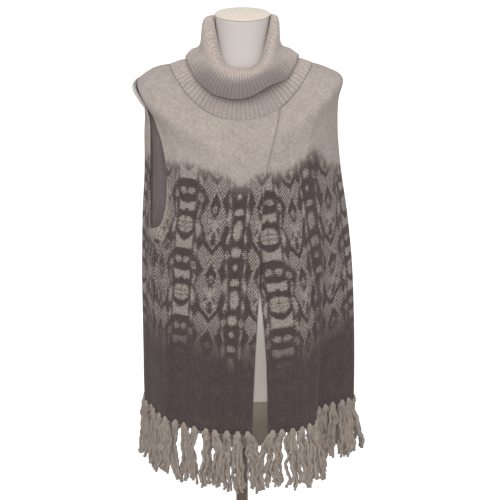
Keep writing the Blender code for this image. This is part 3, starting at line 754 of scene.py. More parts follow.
def normals_of(points):
    """The outward normals of a grid whose rows run down and whose columns run round."""
    down = np.gradient(points, axis=0)
    along = np.gradient(points, axis=1)
    normal = np.cross(down, along)
    return normal / np.linalg.norm(normal, axis=2)[..., None]


def grid_mesh(points, maps, shares):
    """A bmesh grid placed at an array of points, with a UV map and named vertex shares."""
    rows, columns = points.shape[:2]
    bm = bmesh.new()
    bmesh.ops.create_grid(bm, x_segments=columns - 1, y_segments=rows - 1, size=0.5)
    cloth_map = bm.loops.layers.uv.new("cloth")
    layers = {name: bm.verts.layers.float.new(name) for name in shares}
    bm.verts.ensure_lookup_table()
    place = {}
    for vert in bm.verts:
        i = round((0.5 - vert.co.y) * (rows - 1))
        j = round((vert.co.x + 0.5) * (columns - 1))
        place[vert] = (i, j)
        for name, layer in layers.items():
            vert[layer] = shares[name][i, j]
    for face in bm.faces:
        for loop in face.loops:
            loop[cloth_map].uv = maps[place[loop.vert]]
    for vert, (i, j) in place.items():
        vert.co = points[i, j]
    return bm


def object_of(name, bm, materials, node):
    """A smooth object of a bmesh in place of a node, with its materials, attached to the root."""
    mesh = bpy.data.meshes.new(name)
    bm.to_mesh(mesh)
    bm.free()
    mesh.shade_smooth()
    for material in materials:
        mesh.materials.append(material)
    piece = in_scene(name, mesh)
    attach(piece, "root")
    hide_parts(node)
    print(f"{name}: {len(mesh.polygons)} faces")
    return piece


def thick(piece, thickness, bevel=0.0008):
    """A wall of this thickness round the sheet, its second material inside, its edges rounded."""
    wall = piece.modifiers.new("wall", "SOLIDIFY")
    wall.thickness = thickness
    wall.offset = 0.0
    wall.material_offset = 1 if len(piece.data.materials) > 1 else 0
    edge = piece.modifiers.new("edge", "BEVEL")
    edge.width = bevel
    edge.segments = 2
    edge.limit_method = "ANGLE"
    edge.angle_limit = math.radians(60)


# %% [markdown]
# ## The knit material
#
# Stocking stitch is a grid of small V shapes. From the cloth's coordinates we get the place inside
# one stitch, and a height for its two legs, which feeds a Bump node. The yarn is a melange, so its
# colour changes from fibre to fibre and a little from wale to wale. The share of light yarn comes
# from the vertices and is sharpened here, with noise, so that the motifs have knitted edges.

# %% Yarn colours
LIGHT_YARN = srgb(177, 165, 157)
LIGHT_YARN_PALE = srgb(202, 190, 181)
LIGHT_YARN_DEEP = srgb(147, 136, 130)
MOTIF_YARN = srgb(172, 159, 152)
MOTIF_YARN_DEEP = srgb(124, 113, 108)
DARK_YARN = srgb(70, 56, 54)
DARK_YARN_PALE = srgb(94, 79, 76)
DARK_YARN_DEEP = srgb(50, 40, 39)
INSIDE_LIGHT = srgb(206, 195, 192)
INSIDE_LIGHT_DEEP = srgb(176, 166, 163)
INSIDE_DARK = srgb(192, 179, 179)
INSIDE_DARK_DEEP = srgb(148, 136, 136)
INSIDE_EDGE_HIGHLIGHT = srgb(244, 234, 228)
EDGE_SHADE = srgb(96, 87, 84)
CREVICE_SHADE = srgb(46, 40, 39)

STITCH_WIDE = 0.0021
STITCH_HIGH = 0.0016
LATTICE_DOWN = 0.0074
LATTICE_LEAN = 1.25


def stitches(uv):
    """The height of stocking stitch, and a random number for each stitch."""
    across, up = uv.parts()
    wale = across / STITCH_WIDE
    from_middle = ((wale.fraction() - 0.5) * 2).size()
    leg = (from_middle * (1 - from_middle) * 4).math("SQRT")
    course = up / STITCH_HIGH + from_middle * 0.8
    loop = course.wave()
    stitch = {"X": wale.math("FLOOR"), "Y": course.math("FLOOR")}
    cell = uv.node("ShaderNodeCombineXYZ", sockets=stitch)
    chance = uv.node("ShaderNodeTexWhiteNoise", {"noise_dimensions": "3D"}, {"Vector": cell})
    return leg * (loop * 0.45 + 0.55), chance


def melange(places, chance, pale, plain, deep):
    """A yarn of mixed fibres: three tints, by stitch and by finer and coarser noise."""
    fine = places.noise(650, 2, 0.6)
    cloud = places.noise(60, 3, 0.55)
    mix = fine * 0.42 + chance * 0.30 + cloud * 0.28
    light = (mix.between(0.26, 0.54) * 0.8 + 0.2).mixed(deep, plain)
    return (mix.between(0.48, 0.80) * 0.8).mixed(light, pale)


def lattice(across, up, hatch):
    """Leaning light threads, crossed by fainter ones: 1 on a thread and 0 between them."""
    step = LATTICE_DOWN / LATTICE_LEAN
    falling = (up / LATTICE_DOWN + across / step).wave()
    rising = (up / LATTICE_DOWN - across / step).wave()
    way = hatch.between(-0.3, 0.3)
    strong = falling * way + rising * (1 - way)
    weak = rising * way + falling * (1 - way)
    return (strong.between(0.30, 0.80)).math("MAXIMUM", weak.between(0.60, 0.95) * 0.6)


def jacquard_material():
    material, start = new_material("jacquard_knit", roughness=0.92, sheen_weight=0.05)
    uv = start.cloth_map()
    places = start.places()
    across, up = uv.parts()
    height, chance = stitches(uv)
    light_share, hatch = start.attribute("light_yarn"), start.attribute("hatch")
    zone, from_edge = start.attribute("zone"), start.attribute("from_edge")

    loose = start.attribute("loose")
    streaks = uv.stretched(1.0, 0.12, 1.0).noise(330, 2, 0.6)
    fleck_place = uv.node("ShaderNodeCombineXYZ", sockets={"X": loose, "Y": up * 0.45})
    flecks = fleck_place.noise(430, 3, 0.65)
    fray = (flecks - 0.5) * 1.5 + (chance - 0.5) * 0.30
    rows = (up / (STITCH_HIGH * 2.7)).wave()
    light = melange(places, chance, LIGHT_YARN_PALE, LIGHT_YARN, LIGHT_YARN_DEEP)
    motif_yarn = (fray.between(-0.35, 0.25) * 0.7 + rows * 0.3).mixed(MOTIF_YARN_DEEP, MOTIF_YARN)
    light = (zone.between(0.05, 0.6) * 0.85).mixed(light, motif_yarn)
    light = (zone.between(1.0, 1.8) * 0.70).mixed(light, DARK_YARN_PALE)
    dark = melange(places, chance, DARK_YARN_PALE, DARK_YARN, DARK_YARN_DEEP)
    dark = (streaks.between(0.50, 0.80) * 0.40).mixed(dark, DARK_YARN_PALE)
    wale_line = (across / (STITCH_WIDE * 2.4)).wave().between(0.0, 0.6)
    dark = (0.50 + wale_line * 0.50).mixed(DARK_YARN_DEEP, dark)

    open_work = hatch.size() * (1 - lattice(loose, up, hatch)) * 0.88
    row_lines = rows.between(0.45, 0.95) * (1 - hatch.size()) * 0.30
    pleats = start.attribute("pleats").wave().between(0.35, 0.85)
    worked = light_share * (1 - open_work) - row_lines
    # Painted shade along the pleats of the bunch.
    worked = worked * (1 - start.attribute("bunch") * pleats * 0.50)
    shown = (worked + fray - 0.04).between(0.10, 0.90)
    border = (zone + (streaks - 0.5) * 0.80 + fray * 0.28).between(0.08, 0.36)
    started = border * (0.50 + zone.between(0.10, 1.0) * 0.50)
    ended = (zone + (streaks - 0.5) * 0.70 - light_share * 0.35).between(1.10, 1.75)
    share = ((1 - shown) * started).math("MAXIMUM", ended)
    colour = share.mixed(light, dark)
    # Painted shade: the hollows between the stitches' legs are darker.
    colour = (0.74 + height * 0.26).mixed(DARK_YARN_DEEP, colour)
    # Painted shade: a dark line along the over front's edge, where it lies on the under front.
    colour = (from_edge.between(0.0004, 0.0024) * 0.60 + 0.40).mixed(EDGE_SHADE, colour)
    # Painted shadow: the under front goes nearly black just past the over front's edge, above the
    # split.
    colour = (start.attribute("crevice_shade") * 0.85).mixed(colour, CREVICE_SHADE)
    fuzz = places.noise(1700, 2, 0.6)
    normal = (height + fuzz * 0.35).bumps(0.55, 0.85)
    return finished(material, colour, normal)


def inside_material():
    """The knit's wrong side: greys by zone, painted paler than its yarns, as painted light."""
    material, start = new_material("knit_inside", roughness=0.95, sheen_weight=0.05)
    uv = start.cloth_map()
    places = start.places()
    across, up = uv.parts()
    courses = (up / STITCH_HIGH + (across / STITCH_WIDE).wave() * 0.35).wave()
    _, chance = stitches(uv)
    light = melange(places, chance, INSIDE_LIGHT, INSIDE_LIGHT, INSIDE_LIGHT_DEEP)
    dark = melange(places, chance, INSIDE_DARK, INSIDE_DARK, INSIDE_DARK_DEEP)
    colour = start.attribute("zone").between(0.2, 1.4).mixed(light, dark)
    streaks = uv.stretched(1.0, 0.05, 1.0).noise(170, 2, 0.6).between(0.40, 0.60)
    # Painted shade in the grooves between courses, mixed with streaks of random tone.
    colour = (0.66 + courses * 0.10 + streaks * 0.24).mixed(MOTIF_YARN_DEEP, colour)
    # Painted highlight: near-white on the inside along the back's rolled armhole edge and the over
    # front's edge.
    colour = start.attribute("from_edge").between(0.005, 0.016).mixed(INSIDE_EDGE_HIGHLIGHT, colour)
    return finished(material, colour, courses.bumps(0.5, 0.8))


jacquard = jacquard_material()
knit_inside = inside_material()

# %% [markdown]
# ## The three panels
#
# The under front lies a little behind the surface and the over front a little before it where they
# overlap, so that neither cuts the other.

# %% Panels
EDGE_CURL, EDGE_CURL_WIDTH = 0.0014, 0.006
EDGE_ROLL, EDGE_ROLL_WIDTH = 0.0028, 0.005
ROLL_HOLLOW, ROLL_HOLLOW_WIDTH = 0.013, 0.006
ROLL_STARTS, ROLL_ENDS = (1.5, 1.8), (3.4, 2.6)
NECK_ROW_LENGTH = 0.038
GATHER_MIDDLE = (-0.1660, 0.9710)
GATHER_REACH = (0.0180, 0.0215)
GATHER_HEIGHT, GATHER_DIP = 0.0065, 0.003
GATHER_PLEATS = 4.2
DRAWN_WIDTH = 0.0068
LOOSE_FROM = (-0.135, 0.195)
LOOSENED = 0.25
FOLD_SHADE, FOLD_SHADE_WIDTH, FOLD_SHADE_DEPTH = 0.168, 0.018, 0.30
RIM_WIDTH, RIM_STARTS, RIM_ENDS = (0.016, 0.004), (4.2, 4.6), ARMHOLE_FOOT_ROW + 0.2
BACK_RIM, BACK_RIM_ENDS = 0.005, 3
CREVICE_SHADE_WIDTH = 0.0065
CREVICE_SHADE_TOP = (0.985, 0.925)
CREVICE_SHADE_FOOT = (0.868, 0.876)
Bunch = namedtuple("Bunch", "swell dome middle flanks pleats drawn")


def gathered(points):
    """The bunch of cloth where the left side seam meets the armhole, a dome that tapers downward.

    The results are its swell; its dome of light yarn, partly a painted highlight; its middle, which
    dips and is painted dark as shade; painted shade in the hollows at its flanks; its pleats (one
    more at each whole number); and how much the cloth below is drawn.
    """
    side = (points[..., 0] - GATHER_MIDDLE[0]) / GATHER_REACH[0]
    height = (points[..., 2] - GATHER_MIDDLE[1]) / GATHER_REACH[1]
    in_front = eased(-0.03, -0.06, points[..., 1])
    reach = np.hypot(side / (1 - 0.45 * np.clip(-height, 0, 1)), height)
    swell = np.exp(-1.2 * reach**2) * in_front
    dome = eased(1.12, 0.90, reach) * in_front
    middle = hill(side, 0.36) * hill(height + 0.55, 0.28) * in_front
    flanks = hill(np.abs(side) - 1.1, 0.28) * hill(height + 0.75, 0.45) * in_front
    drawn = hill(side, 1.1) * eased(-0.7, -1.3, height) * eased(-9.0, -5.0, height) * in_front
    pleats = np.arctan2(side, height + 1.1) * GATHER_PLEATS
    return Bunch(swell, dome, middle, flanks, pleats, drawn)


def moved_out(panel, at, points):
    """How far creases, edges and seams move the cloth out from its rings, in metres."""
    high = eased(OVERLAP_FADE[1], OVERLAP_FADE[0], points[..., 2])
    move = creased(at.row, at.bearing)
    if panel == "over":
        move += OVERLAP_LIFT * (1 - eased(*OVERLAP_REACH, at.from_last)) * high
        move += EDGE_CURL * hill(at.from_last, EDGE_CURL_WIDTH) * high
        seams = [at.from_first]
    elif panel == "under":
        move -= OVERLAP_LIFT * (1 - eased(*OVERLAP_REACH, at.from_first)) * high
        seams = [at.from_last]
    else:
        rolled = eased(*ROLL_STARTS, at.row) * eased(*ROLL_ENDS, at.row)
        move += EDGE_ROLL * rolled * hill(at.from_last, EDGE_ROLL_WIDTH)
        move -= EDGE_ROLL * rolled * hill(at.from_last - ROLL_HOLLOW, ROLL_HOLLOW_WIDTH)
        seams = [at.from_first, at.from_last]
    seam_row = (at.row < SHOULDER_ROW) | (at.row > ARMHOLE_FOOT_ROW)
    for from_seam in seams:
        move -= SEAM_PINCH * hill(from_seam, SEAM_PINCH_WIDTH) * seam_row
    return move - SEAM_PINCH * hill(at.row * NECK_ROW_LENGTH, SEAM_PINCH_WIDTH)


def yarn_shares(panel, at, across, up, points, bunch):
    """The numbers at each vertex that the knit's material reads."""
    light, hatch, zone = chart(panel, across, up)
    # Painted shade: less light yarn in the recess of the under front's strong fold.
    if panel == "under":
        light = light * (1 - FOLD_SHADE_DEPTH * hill(across - FOLD_SHADE, FOLD_SHADE_WIDTH))
    streaks = 0.5 + 0.5 * np.cos(across * math.tau / DRAWN_WIDTH + 1.6 * np.sin(up * 34))
    light = light * (1 - 0.50 * bunch.drawn) + 0.45 * streaks * bunch.drawn
    # Painted light and shade on the bunch: its dome lighter, its flanks and middle darker.
    light = np.maximum(light * (1 - 0.8 * bunch.flanks), bunch.dome) * (1 - 0.9 * bunch.middle)
    hatch = hatch * (1 - bunch.dome) * (1 - 0.6 * bunch.drawn)
    zone = zone * (1 - 0.60 * bunch.dome * (1 - bunch.middle))
    from_edge, crevice_shade = np.full(zone.shape, 1.0), np.zeros(zone.shape)
    if panel == "over":
        from_edge = at.from_last
        rim = eased(*RIM_WIDTH, at.from_first) * eased(*RIM_STARTS, at.row) * (at.row < RIM_ENDS)
        light = np.maximum(light, rim)
        hatch = hatch * (1 - 0.8 * rim)
    elif panel == "under":
        # Painted shadow in the crevice beside the over front's edge, above the split.
        height = points[..., 2]
        beyond = points[..., 0] - column(FRONT_EDGES, "height", "over", height)
        crevice_shade = hill(beyond, CREVICE_SHADE_WIDTH)
        crevice_shade *= eased(*CREVICE_SHADE_TOP, height) * eased(*CREVICE_SHADE_FOOT, height)
    else:
        rolled = (at.row > SHOULDER_ROW) & (at.row < BACK_RIM_ENDS)
        from_edge = np.where(rolled, BACK_RIM + at.from_last, from_edge)
    # Where the cloth turns away to the sides, its lattice is knitted more loosely.
    turned_away = np.clip(across - LOOSE_FROM[1], 0, 0.1) + np.clip(across - LOOSE_FROM[0], -0.1, 0)
    return {
        "light_yarn": light, "hatch": hatch, "zone": zone, "from_edge": from_edge,
        "crevice_shade": crevice_shade, "loose": across - LOOSENED * turned_away,
        "bunch": bunch.dome, "pleats": bunch.pleats,
    }


def cloth_panel(name, panel, columns, node):
    """One panel of jacquard knit in place of its solid, and its vertices as rows of points."""
    at = panel_places(panel, columns)
    points = on_rings(GARMENT, at.row, at.bearing)
    down = points[1] - points[0]
    points[0] += NECK_SEAM_GAP * down / np.linalg.norm(down, axis=1)[:, None]
    bunch = gathered(points)
    move = moved_out(panel, at, points) + GATHER_HEIGHT * bunch.swell - GATHER_DIP * bunch.middle
    points = points + normals_of(points) * move[..., None]

    across, up = knit_across(at.bearing), knit_up(at.row, at.bearing)
    shares = yarn_shares(panel, at, across, up, points, bunch)
    bm = grid_mesh(points, np.stack([across, up], axis=-1), shares)
    piece = object_of(name, bm, (jacquard, knit_inside), node)
    thick(piece, BODY_KNIT)
    return piece, points


def cut_of(points):
    """The flat width, length and area of the piece of cloth that hangs as these points."""
    along, down = np.diff(points, axis=1), np.diff(points, axis=0)
    width = np.linalg.norm(along, axis=2).sum(axis=1).max()
    length = np.linalg.norm(down, axis=2).sum(axis=0).max()
    return width, length, np.linalg.norm(np.cross(down[:, 1:], along[1:]), axis=2).sum()


over_front, over_points = cloth_panel("over_front", "over", 112, "front_over")
under_front, under_points = cloth_panel("under_front", "under", 132, "front_under")
back_cloth, back_points = cloth_panel("back_cloth", "back", 168, "back")

# %% [markdown]
# ## The rib collar
#
# The collar is a tube of rib knit, sewn round the neckline. It stands up round the neck, folds over
# and falls to its own hem. A rib is a corrugated sheet, so that both of its sides show ridges. We
# make it as a grid with eight columns to a rib, moved in and out by a wave, and welded to a tube.

# %% Collar
COLLAR = rows_of(
    Ring,
    (0.142, 0.141, 0.128, 0.102, 1.299, 1.302, 1.205, 1.292, 2.0, 2.4, 0),  # neckline seam
    (0.124, 0.123, 0.12, 0.093, 1.305, 1.308, 1.225, 1.302, 2.0, 2.4, 0),
    (0.104, 0.103, 0.108, 0.082, 1.311, 1.314, 1.243, 1.313, 2.0, 2.4, 0),
    (0.073, 0.073, 0.086, 0.068, 1.33, 1.333, 1.266, 1.338, 2.0, 2.6, 0),
    (0.055, 0.0592, 0.072, 0.06, 1.378, 1.382, 1.29, 1.384, 2.0, 3.6, 0),
    (0.06, 0.063, 0.078, 0.068, 1.392, 1.395, 1.299, 1.395, 2.0, 3.8, 0),  # fold
    (0.074, 0.073, 0.0955, 0.077, 1.384, 1.387, 1.2955, 1.383, 2.0, 3.4, 0),
    (0.0815, 0.078, 0.1125, 0.086, 1.3385, 1.3405, 1.281, 1.34, 2.0, 3.0, 0),
    (0.1, 0.0985, 0.1215, 0.1, 1.3265, 1.3285, 1.264, 1.32, 2.1, 3.0, 0),
    (0.11, 0.1145, 0.122, 0.112, 1.3145, 1.3165, 1.2455, 1.303, 2.1, 3.2, 0),  # hem of the fold
)
RIB_KNIT = 0.0026
RIB_COUNT = 94
RIB_DEPTH = 0.0008
RIB_COLUMNS = 8
COLLAR_ROWS = 48
FOLD_ROW = 4.4
Wave = namedtuple("Wave", "bearing half_width rise")
# Where the hem of the fold rises and drops, as soft rib does.
HEM_WAVES = rows_of(
    Wave,
    (29.0, 29.0, 0.0155), (-6.0, 12.0, -0.002), (-40.0, 14.0, 0.003),
    (140.0, 22.0, 0.005), (190.0, 18.0, -0.004), (228.0, 16.0, 0.004),
)

row, bearing = np.meshgrid(
    np.linspace(0, len(COLLAR) - 1, COLLAR_ROWS),
    np.linspace(-180, 180, RIB_COUNT * RIB_COLUMNS + 1),
    indexing="ij",
)
collar_points = on_rings(COLLAR, row, bearing)
for wave in HEM_WAVES:
    reach = np.clip(apart(bearing, wave.bearing) / wave.half_width, 0, 1)
    collar_points[..., 2] += wave.rise * 0.5 * (1 + np.cos(np.pi * reach)) * eased(6.2, 9.0, row)
normals = normals_of(collar_points)
rib = np.cos(np.radians(bearing) * RIB_COUNT)
from_front = apart(bearing, 0)
# The ribs are stretched flat in the middle of the yoke and where the fold turns over the shoulders.
turned_over = hill(row - 7.1, 0.55) * eased(38, 60, from_front) * eased(140, 110, from_front)
crisp = np.where(row < 3, 0.40 + 0.60 * eased(25, 60, from_front), 1 - 0.75 * turned_over)
collar_points += normals * (RIB_DEPTH * rib * crisp * (0.45 + 0.55 * eased(0, 0.3, row)))[..., None]
ridge = 0.5 - 0.5 * rib * crisp * np.where(row < FOLD_ROW, 1, -1)
# Painted shade: darker towards the hem of the fold, in the crease where the fold turns over the
# shoulders and on the yoke under the fold, with a painted shadow line at the hem. The neckline seam
# gets a dark line.
shade_and_seam = eased(5.9, 8.0, row) * (0.30 + 0.70 * (1 - eased(28, 80, from_front)))
shade_and_seam = np.maximum(shade_and_seam, turned_over * 0.35)
shade_and_seam = np.where(row < 3, 0.26 + 0.28 * (1 - eased(25, 75, from_front)), shade_and_seam)
shade_and_seam = np.maximum(shade_and_seam, 0.60 * (1 - eased(0.0, 0.08, row)))
shade_and_seam += eased(8.7, 9.0, row) * (1 - eased(70, 120, from_front))
around = (bearing / 360 * RIB_COUNT + 0.25) * STITCH_WIDE * 4
walked = lengths_along(collar_points[:, RIB_COUNT * RIB_COLUMNS // 2])
down_collar = np.repeat(walked[:, None], bearing.shape[1], 1)


def rib_material():
    """Rib knit in the light melange yarn: wales on the ridges, painted shade in their gaps and on
    the fold, and a painted shadow line at the hem.
    """
    material, start = new_material("rib_knit", roughness=0.92, sheen_weight=0.05)
    uv = start.cloth_map()
    places = start.places()
    ridge, shade_and_seam = start.attribute("ridge"), start.attribute("shade_and_seam")
    height, chance = stitches(uv)
    colour = melange(places, chance, LIGHT_YARN_PALE, LIGHT_YARN, LIGHT_YARN_DEEP)
    share = shade_and_seam.between(0.0, 1.0)
    shown = ridge.between(0.05, 0.85) * (share * 0.16 + 0.24) + (0.76 - share * 0.60)
    # Painted shade in the rib gaps, deeper where the collar turns from the light, and a painted
    # shadow line at the hem.
    colour = shown.mixed(RIB_GAP_SHADE, colour)
    colour = (share * share * 0.78).mixed(colour, RIB_SHADE)
    colour = shade_and_seam.between(1.35, 1.90).mixed(colour, RIB_HEM_SHADOW)
    normal = (height * 0.5 + places.noise(1500, 2, 0.6) * 0.5).bumps(0.40, 0.6)
    return finished(material, colour, normal)


RIB_GAP_SHADE = srgb(102, 93, 91)
RIB_SHADE = srgb(116, 107, 106)
RIB_HEM_SHADOW = srgb(64, 57, 56)
collar_map = np.stack([around, down_collar], axis=-1)
bm = grid_mesh(collar_points, collar_map, {"ridge": ridge, "shade_and_seam": shade_and_seam})
bmesh.ops.remove_doubles(bm, verts=bm.verts, dist=WELD)
rib_collar = object_of("rib_collar", bm, (rib_material(),), "cowl_collar")
thick(rib_collar, RIB_KNIT, 0.0006)
collar_cut = cut_of(collar_points)
print(f"rib collar: {collar_cut[0]:.3f} m round, {collar_cut[1]:.3f} m high")

# %% [markdown]
# ## The fringe
#
# Each tassel is a bundle of thick yarn, folded in half, looped through the hem and pulled tight.
# That is a lark's head knot: short legs of yarn come out of a hole just above the edge, a turn of
# yarn holds them at the edge, and the ends hang free. The yarns are curves with a two-lobed
# section. Their tilt twists it, as plied yarn is twisted. A panel's curves become one mesh.

# %% Yarn
TASSEL_PITCH = 0.0210
YARN_RADIUS = 0.0038
YARN_LOBES = 0.14
YARN_SIDES = 6
PLY_LENGTH = 0.030
STRANDS = 9
STRAND_POINTS = 31
FRINGE_LENGTH = 0.116
STRAND_WAVES = ((0.9, 0.0032), (2.3, 0.0023), (4.6, 0.0010))
STRAND_DRIFT = 0.0018
STRAY_DRIFT = 0.0085
STRAY_SHARE = 0.10
TASSEL_FAN = 0.0070
FAN_OPENS = 0.10
Parting = namedtuple("Parting", "across push")
# Where the fringe parts in front: places across the garment, and how far the tassels bow away.
PARTINGS = rows_of(
    Parting,
    (-0.131, 0.008), (-0.0935, 0.0055), (-0.066, 0.004), (-0.001, 0.009),
    (0.0623, 0.004), (0.0898, 0.0085), (0.1153, 0.005),
)
PARTING_REACH = 0.014
PARTED_FAN, MOST_PARTED = 60, 0.65
FRINGE_FLARE = (0.007, 0.019)
FULL_FLARE_TURN = 0.16
STRAND_LEAN = 0.0030
KNOT_WIDTH = 0.0140
KNOT_DEPTH = 0.0110
KNOT_TOP = 0.0072
KNOT_LEAN = 0.0020
KNOT_DROP = 0.0035
KNOT_TURNS = ((0.0012, 1.0), (-0.0030, 0.86))
KNOT_YARN = 0.80
KNOT_SHIFT = 0.0016
END_MARGIN = KNOT_WIDTH / 2 + 0.0008
LEGS = 3
LEGS_MEET = 0.0013
LEG_FOOT = 0.003
SWAY, SWAY_CHANCE = 0.004, 0.0035
# The tassels beside the split are longer.
SPLIT_AT, SPLIT_REACH, SPLIT_LONGER = 0.025, 0.022, 0.14
Tassel = namedtuple("Tassel", "tangent outward sway bow flare fan shared")


def yarn_section():
    """The two-lobed section of the yarn, as a curve to bevel with."""
    data = bpy.data.curves.new("yarn_section", "CURVE")
    data.dimensions = "2D"
    spline = data.splines.new("POLY")
    spline.points.add(YARN_SIDES - 1)
    for point, angle in zip(spline.points, np.arange(YARN_SIDES) / YARN_SIDES * math.tau):
        radius = YARN_RADIUS * (1 + YARN_LOBES * math.cos(2 * angle))
        point.co = (radius * math.cos(angle), radius * math.sin(angle), 0, 1)
    spline.use_cyclic_u = True
    return in_scene("yarn_section", data)


def add_yarn(curve, line, radii, cyclic=False):
    """One yarn along a line of points, twisted as it goes."""
    spline = curve.splines.new("POLY")
    spline.points.add(len(line) - 1)
    spline.points.foreach_set("co", np.hstack([line, np.ones((len(line), 1))]).ravel())
    walked = lengths_along(line)
    spline.points.foreach_set("tilt", walked / PLY_LENGTH * math.tau)
    spline.points.foreach_set("radius", np.broadcast_to(radii, len(line)).copy())
    spline.use_cyclic_u = cyclic
    spline.use_smooth = True


def wavy(random):
    """How far a hanging yarn strays sideways and outward along its length."""
    t = np.linspace(0, 1, STRAND_POINTS)
    waves = np.zeros((2, STRAND_POINTS))
    for turns, size in STRAND_WAVES:
        for k in range(2):
            phase = random.uniform(0, math.tau)
            swing = np.sin(math.tau * turns * t + phase) - np.sin(phase)
            waves[k] += size * random.uniform(0.4, 1.3) * swing
    return waves


def strand_line(tassel, root, place, reach, random):
    """A wavy line that hangs from a root: place is -1 to 1 across the tassel."""
    t = np.linspace(0, 1, STRAND_POINTS)
    waves = tassel.shared * 0.85 + wavy(random) * 0.55
    drift = random.normal(0, STRAY_DRIFT if random.random() < STRAY_SHARE else STRAND_DRIFT)
    opened = tassel.fan * (1 - np.exp(-t / FAN_OPENS)) * (0.7 + 0.3 * t)
    side = place * (KNOT_WIDTH * 0.24 + opened) + (tassel.sway + drift) * t**1.3
    side += tassel.bow * np.sin(math.pi * t**0.7) + waves[0]
    lean = random.uniform(-STRAND_LEAN, STRAND_LEAN)
    away = tassel.flare * t**1.5 + waves[1] * 0.8 + lean * np.minimum(t * 4, 1)
    line = root + tassel.tangent * side[:, None] + tassel.outward * away[:, None]
    line[:, 2] -= reach * t
    return line


def add_knot(curve, tassel, root, hole):
    """The legs over the hem's edge and the turn of yarn that holds them."""
    tangent, outward = tassel.tangent, tassel.outward
    around = np.linspace(0, math.tau, 17)[:-1]
    for lift, size in KNOT_TURNS:
        ring = (
            root
            + tangent * (np.cos(around) * KNOT_WIDTH * 0.42 * size)[:, None]
            + outward * (np.sin(around) * KNOT_DEPTH * 0.34 * size)[:, None]
        )
        ring[:, 2] += lift + 0.0007 * np.sin(around * 2 + lift * 900)
        add_yarn(curve, ring, KNOT_YARN, cyclic=True)
    over = np.linspace(0, math.pi, 11)
    bulge = np.cos(over) * KNOT_DEPTH * 0.30 * (1 - 0.25 * np.sin(over))
    for place in np.linspace(-1, 1, LEGS):
        foot = root + tangent * place * KNOT_WIDTH * 0.38
        sweep = np.sin(over)[:, None]
        line = foot * (1 - sweep) + (hole + tangent * place * LEGS_MEET) * sweep
        line = line + outward * bulge[:, None]
        line[:, 2] = foot[2] - LEG_FOOT + (KNOT_TOP + 0.005) * np.sin(over) ** 0.8
        add_yarn(curve, line, KNOT_YARN)


# %% Fringe
def fringe_material():
    """Soft plied yarn: melange with fine fibres that lie along the ply."""
    material, start = new_material("fringe_yarn", roughness=0.95, sheen_weight=0.20)
    places = start.places()
    fibres = places.stretched(1.0, 1.0, 0.35).noise(1500, 2, 0.6)
    clumps = places.noise(110, 2, 0.5)
    mix = fibres * 0.6 + clumps * 0.4
    light = mix.between(0.32, 0.52).mixed(FRINGE_DEEP, FRINGE_PLAIN)
    colour = mix.between(0.52, 0.70).mixed(light, FRINGE_PALE)
    return finished(material, colour, fibres.bumps(0.5, 0.9))


FRINGE_PALE = srgb(174, 160, 149)
FRINGE_PLAIN = srgb(151, 138, 128)
FRINGE_DEEP = srgb(122, 110, 101)
fringe_yarn = fringe_material()
section = yarn_section()


def on_line(line, walked, at):
    """The point at a distance along a line."""
    return np.array([np.interp(at, walked, line[:, axis]) for axis in range(3)])


def flare_at(k, directions, place):
    """How far a tassel swings out at its foot: less where the hem runs straight or turns inward."""
    before, after = directions[max(k - 1, 0)], directions[min(k + 1, len(directions) - 1)]
    turn = before[0] * after[1] - before[1] * after[0]
    flare = FRINGE_FLARE[int(place[0] > 0)]
    return flare * (min(turn / FULL_FLARE_TURN, 1) if turn > 0 else 0.3 * turn)


def mesh_of(curve):
    """A curve, with its bevel, as a bmesh."""
    helper = in_scene(curve.name + "_curve", curve)
    depsgraph = bpy.context.evaluated_depsgraph_get()
    mesh = bpy.data.meshes.new_from_object(helper.evaluated_get(depsgraph))
    bpy.data.objects.remove(helper)
    bm = bmesh.new()
    bm.from_mesh(mesh)
    bpy.data.meshes.remove(mesh)
    return bm


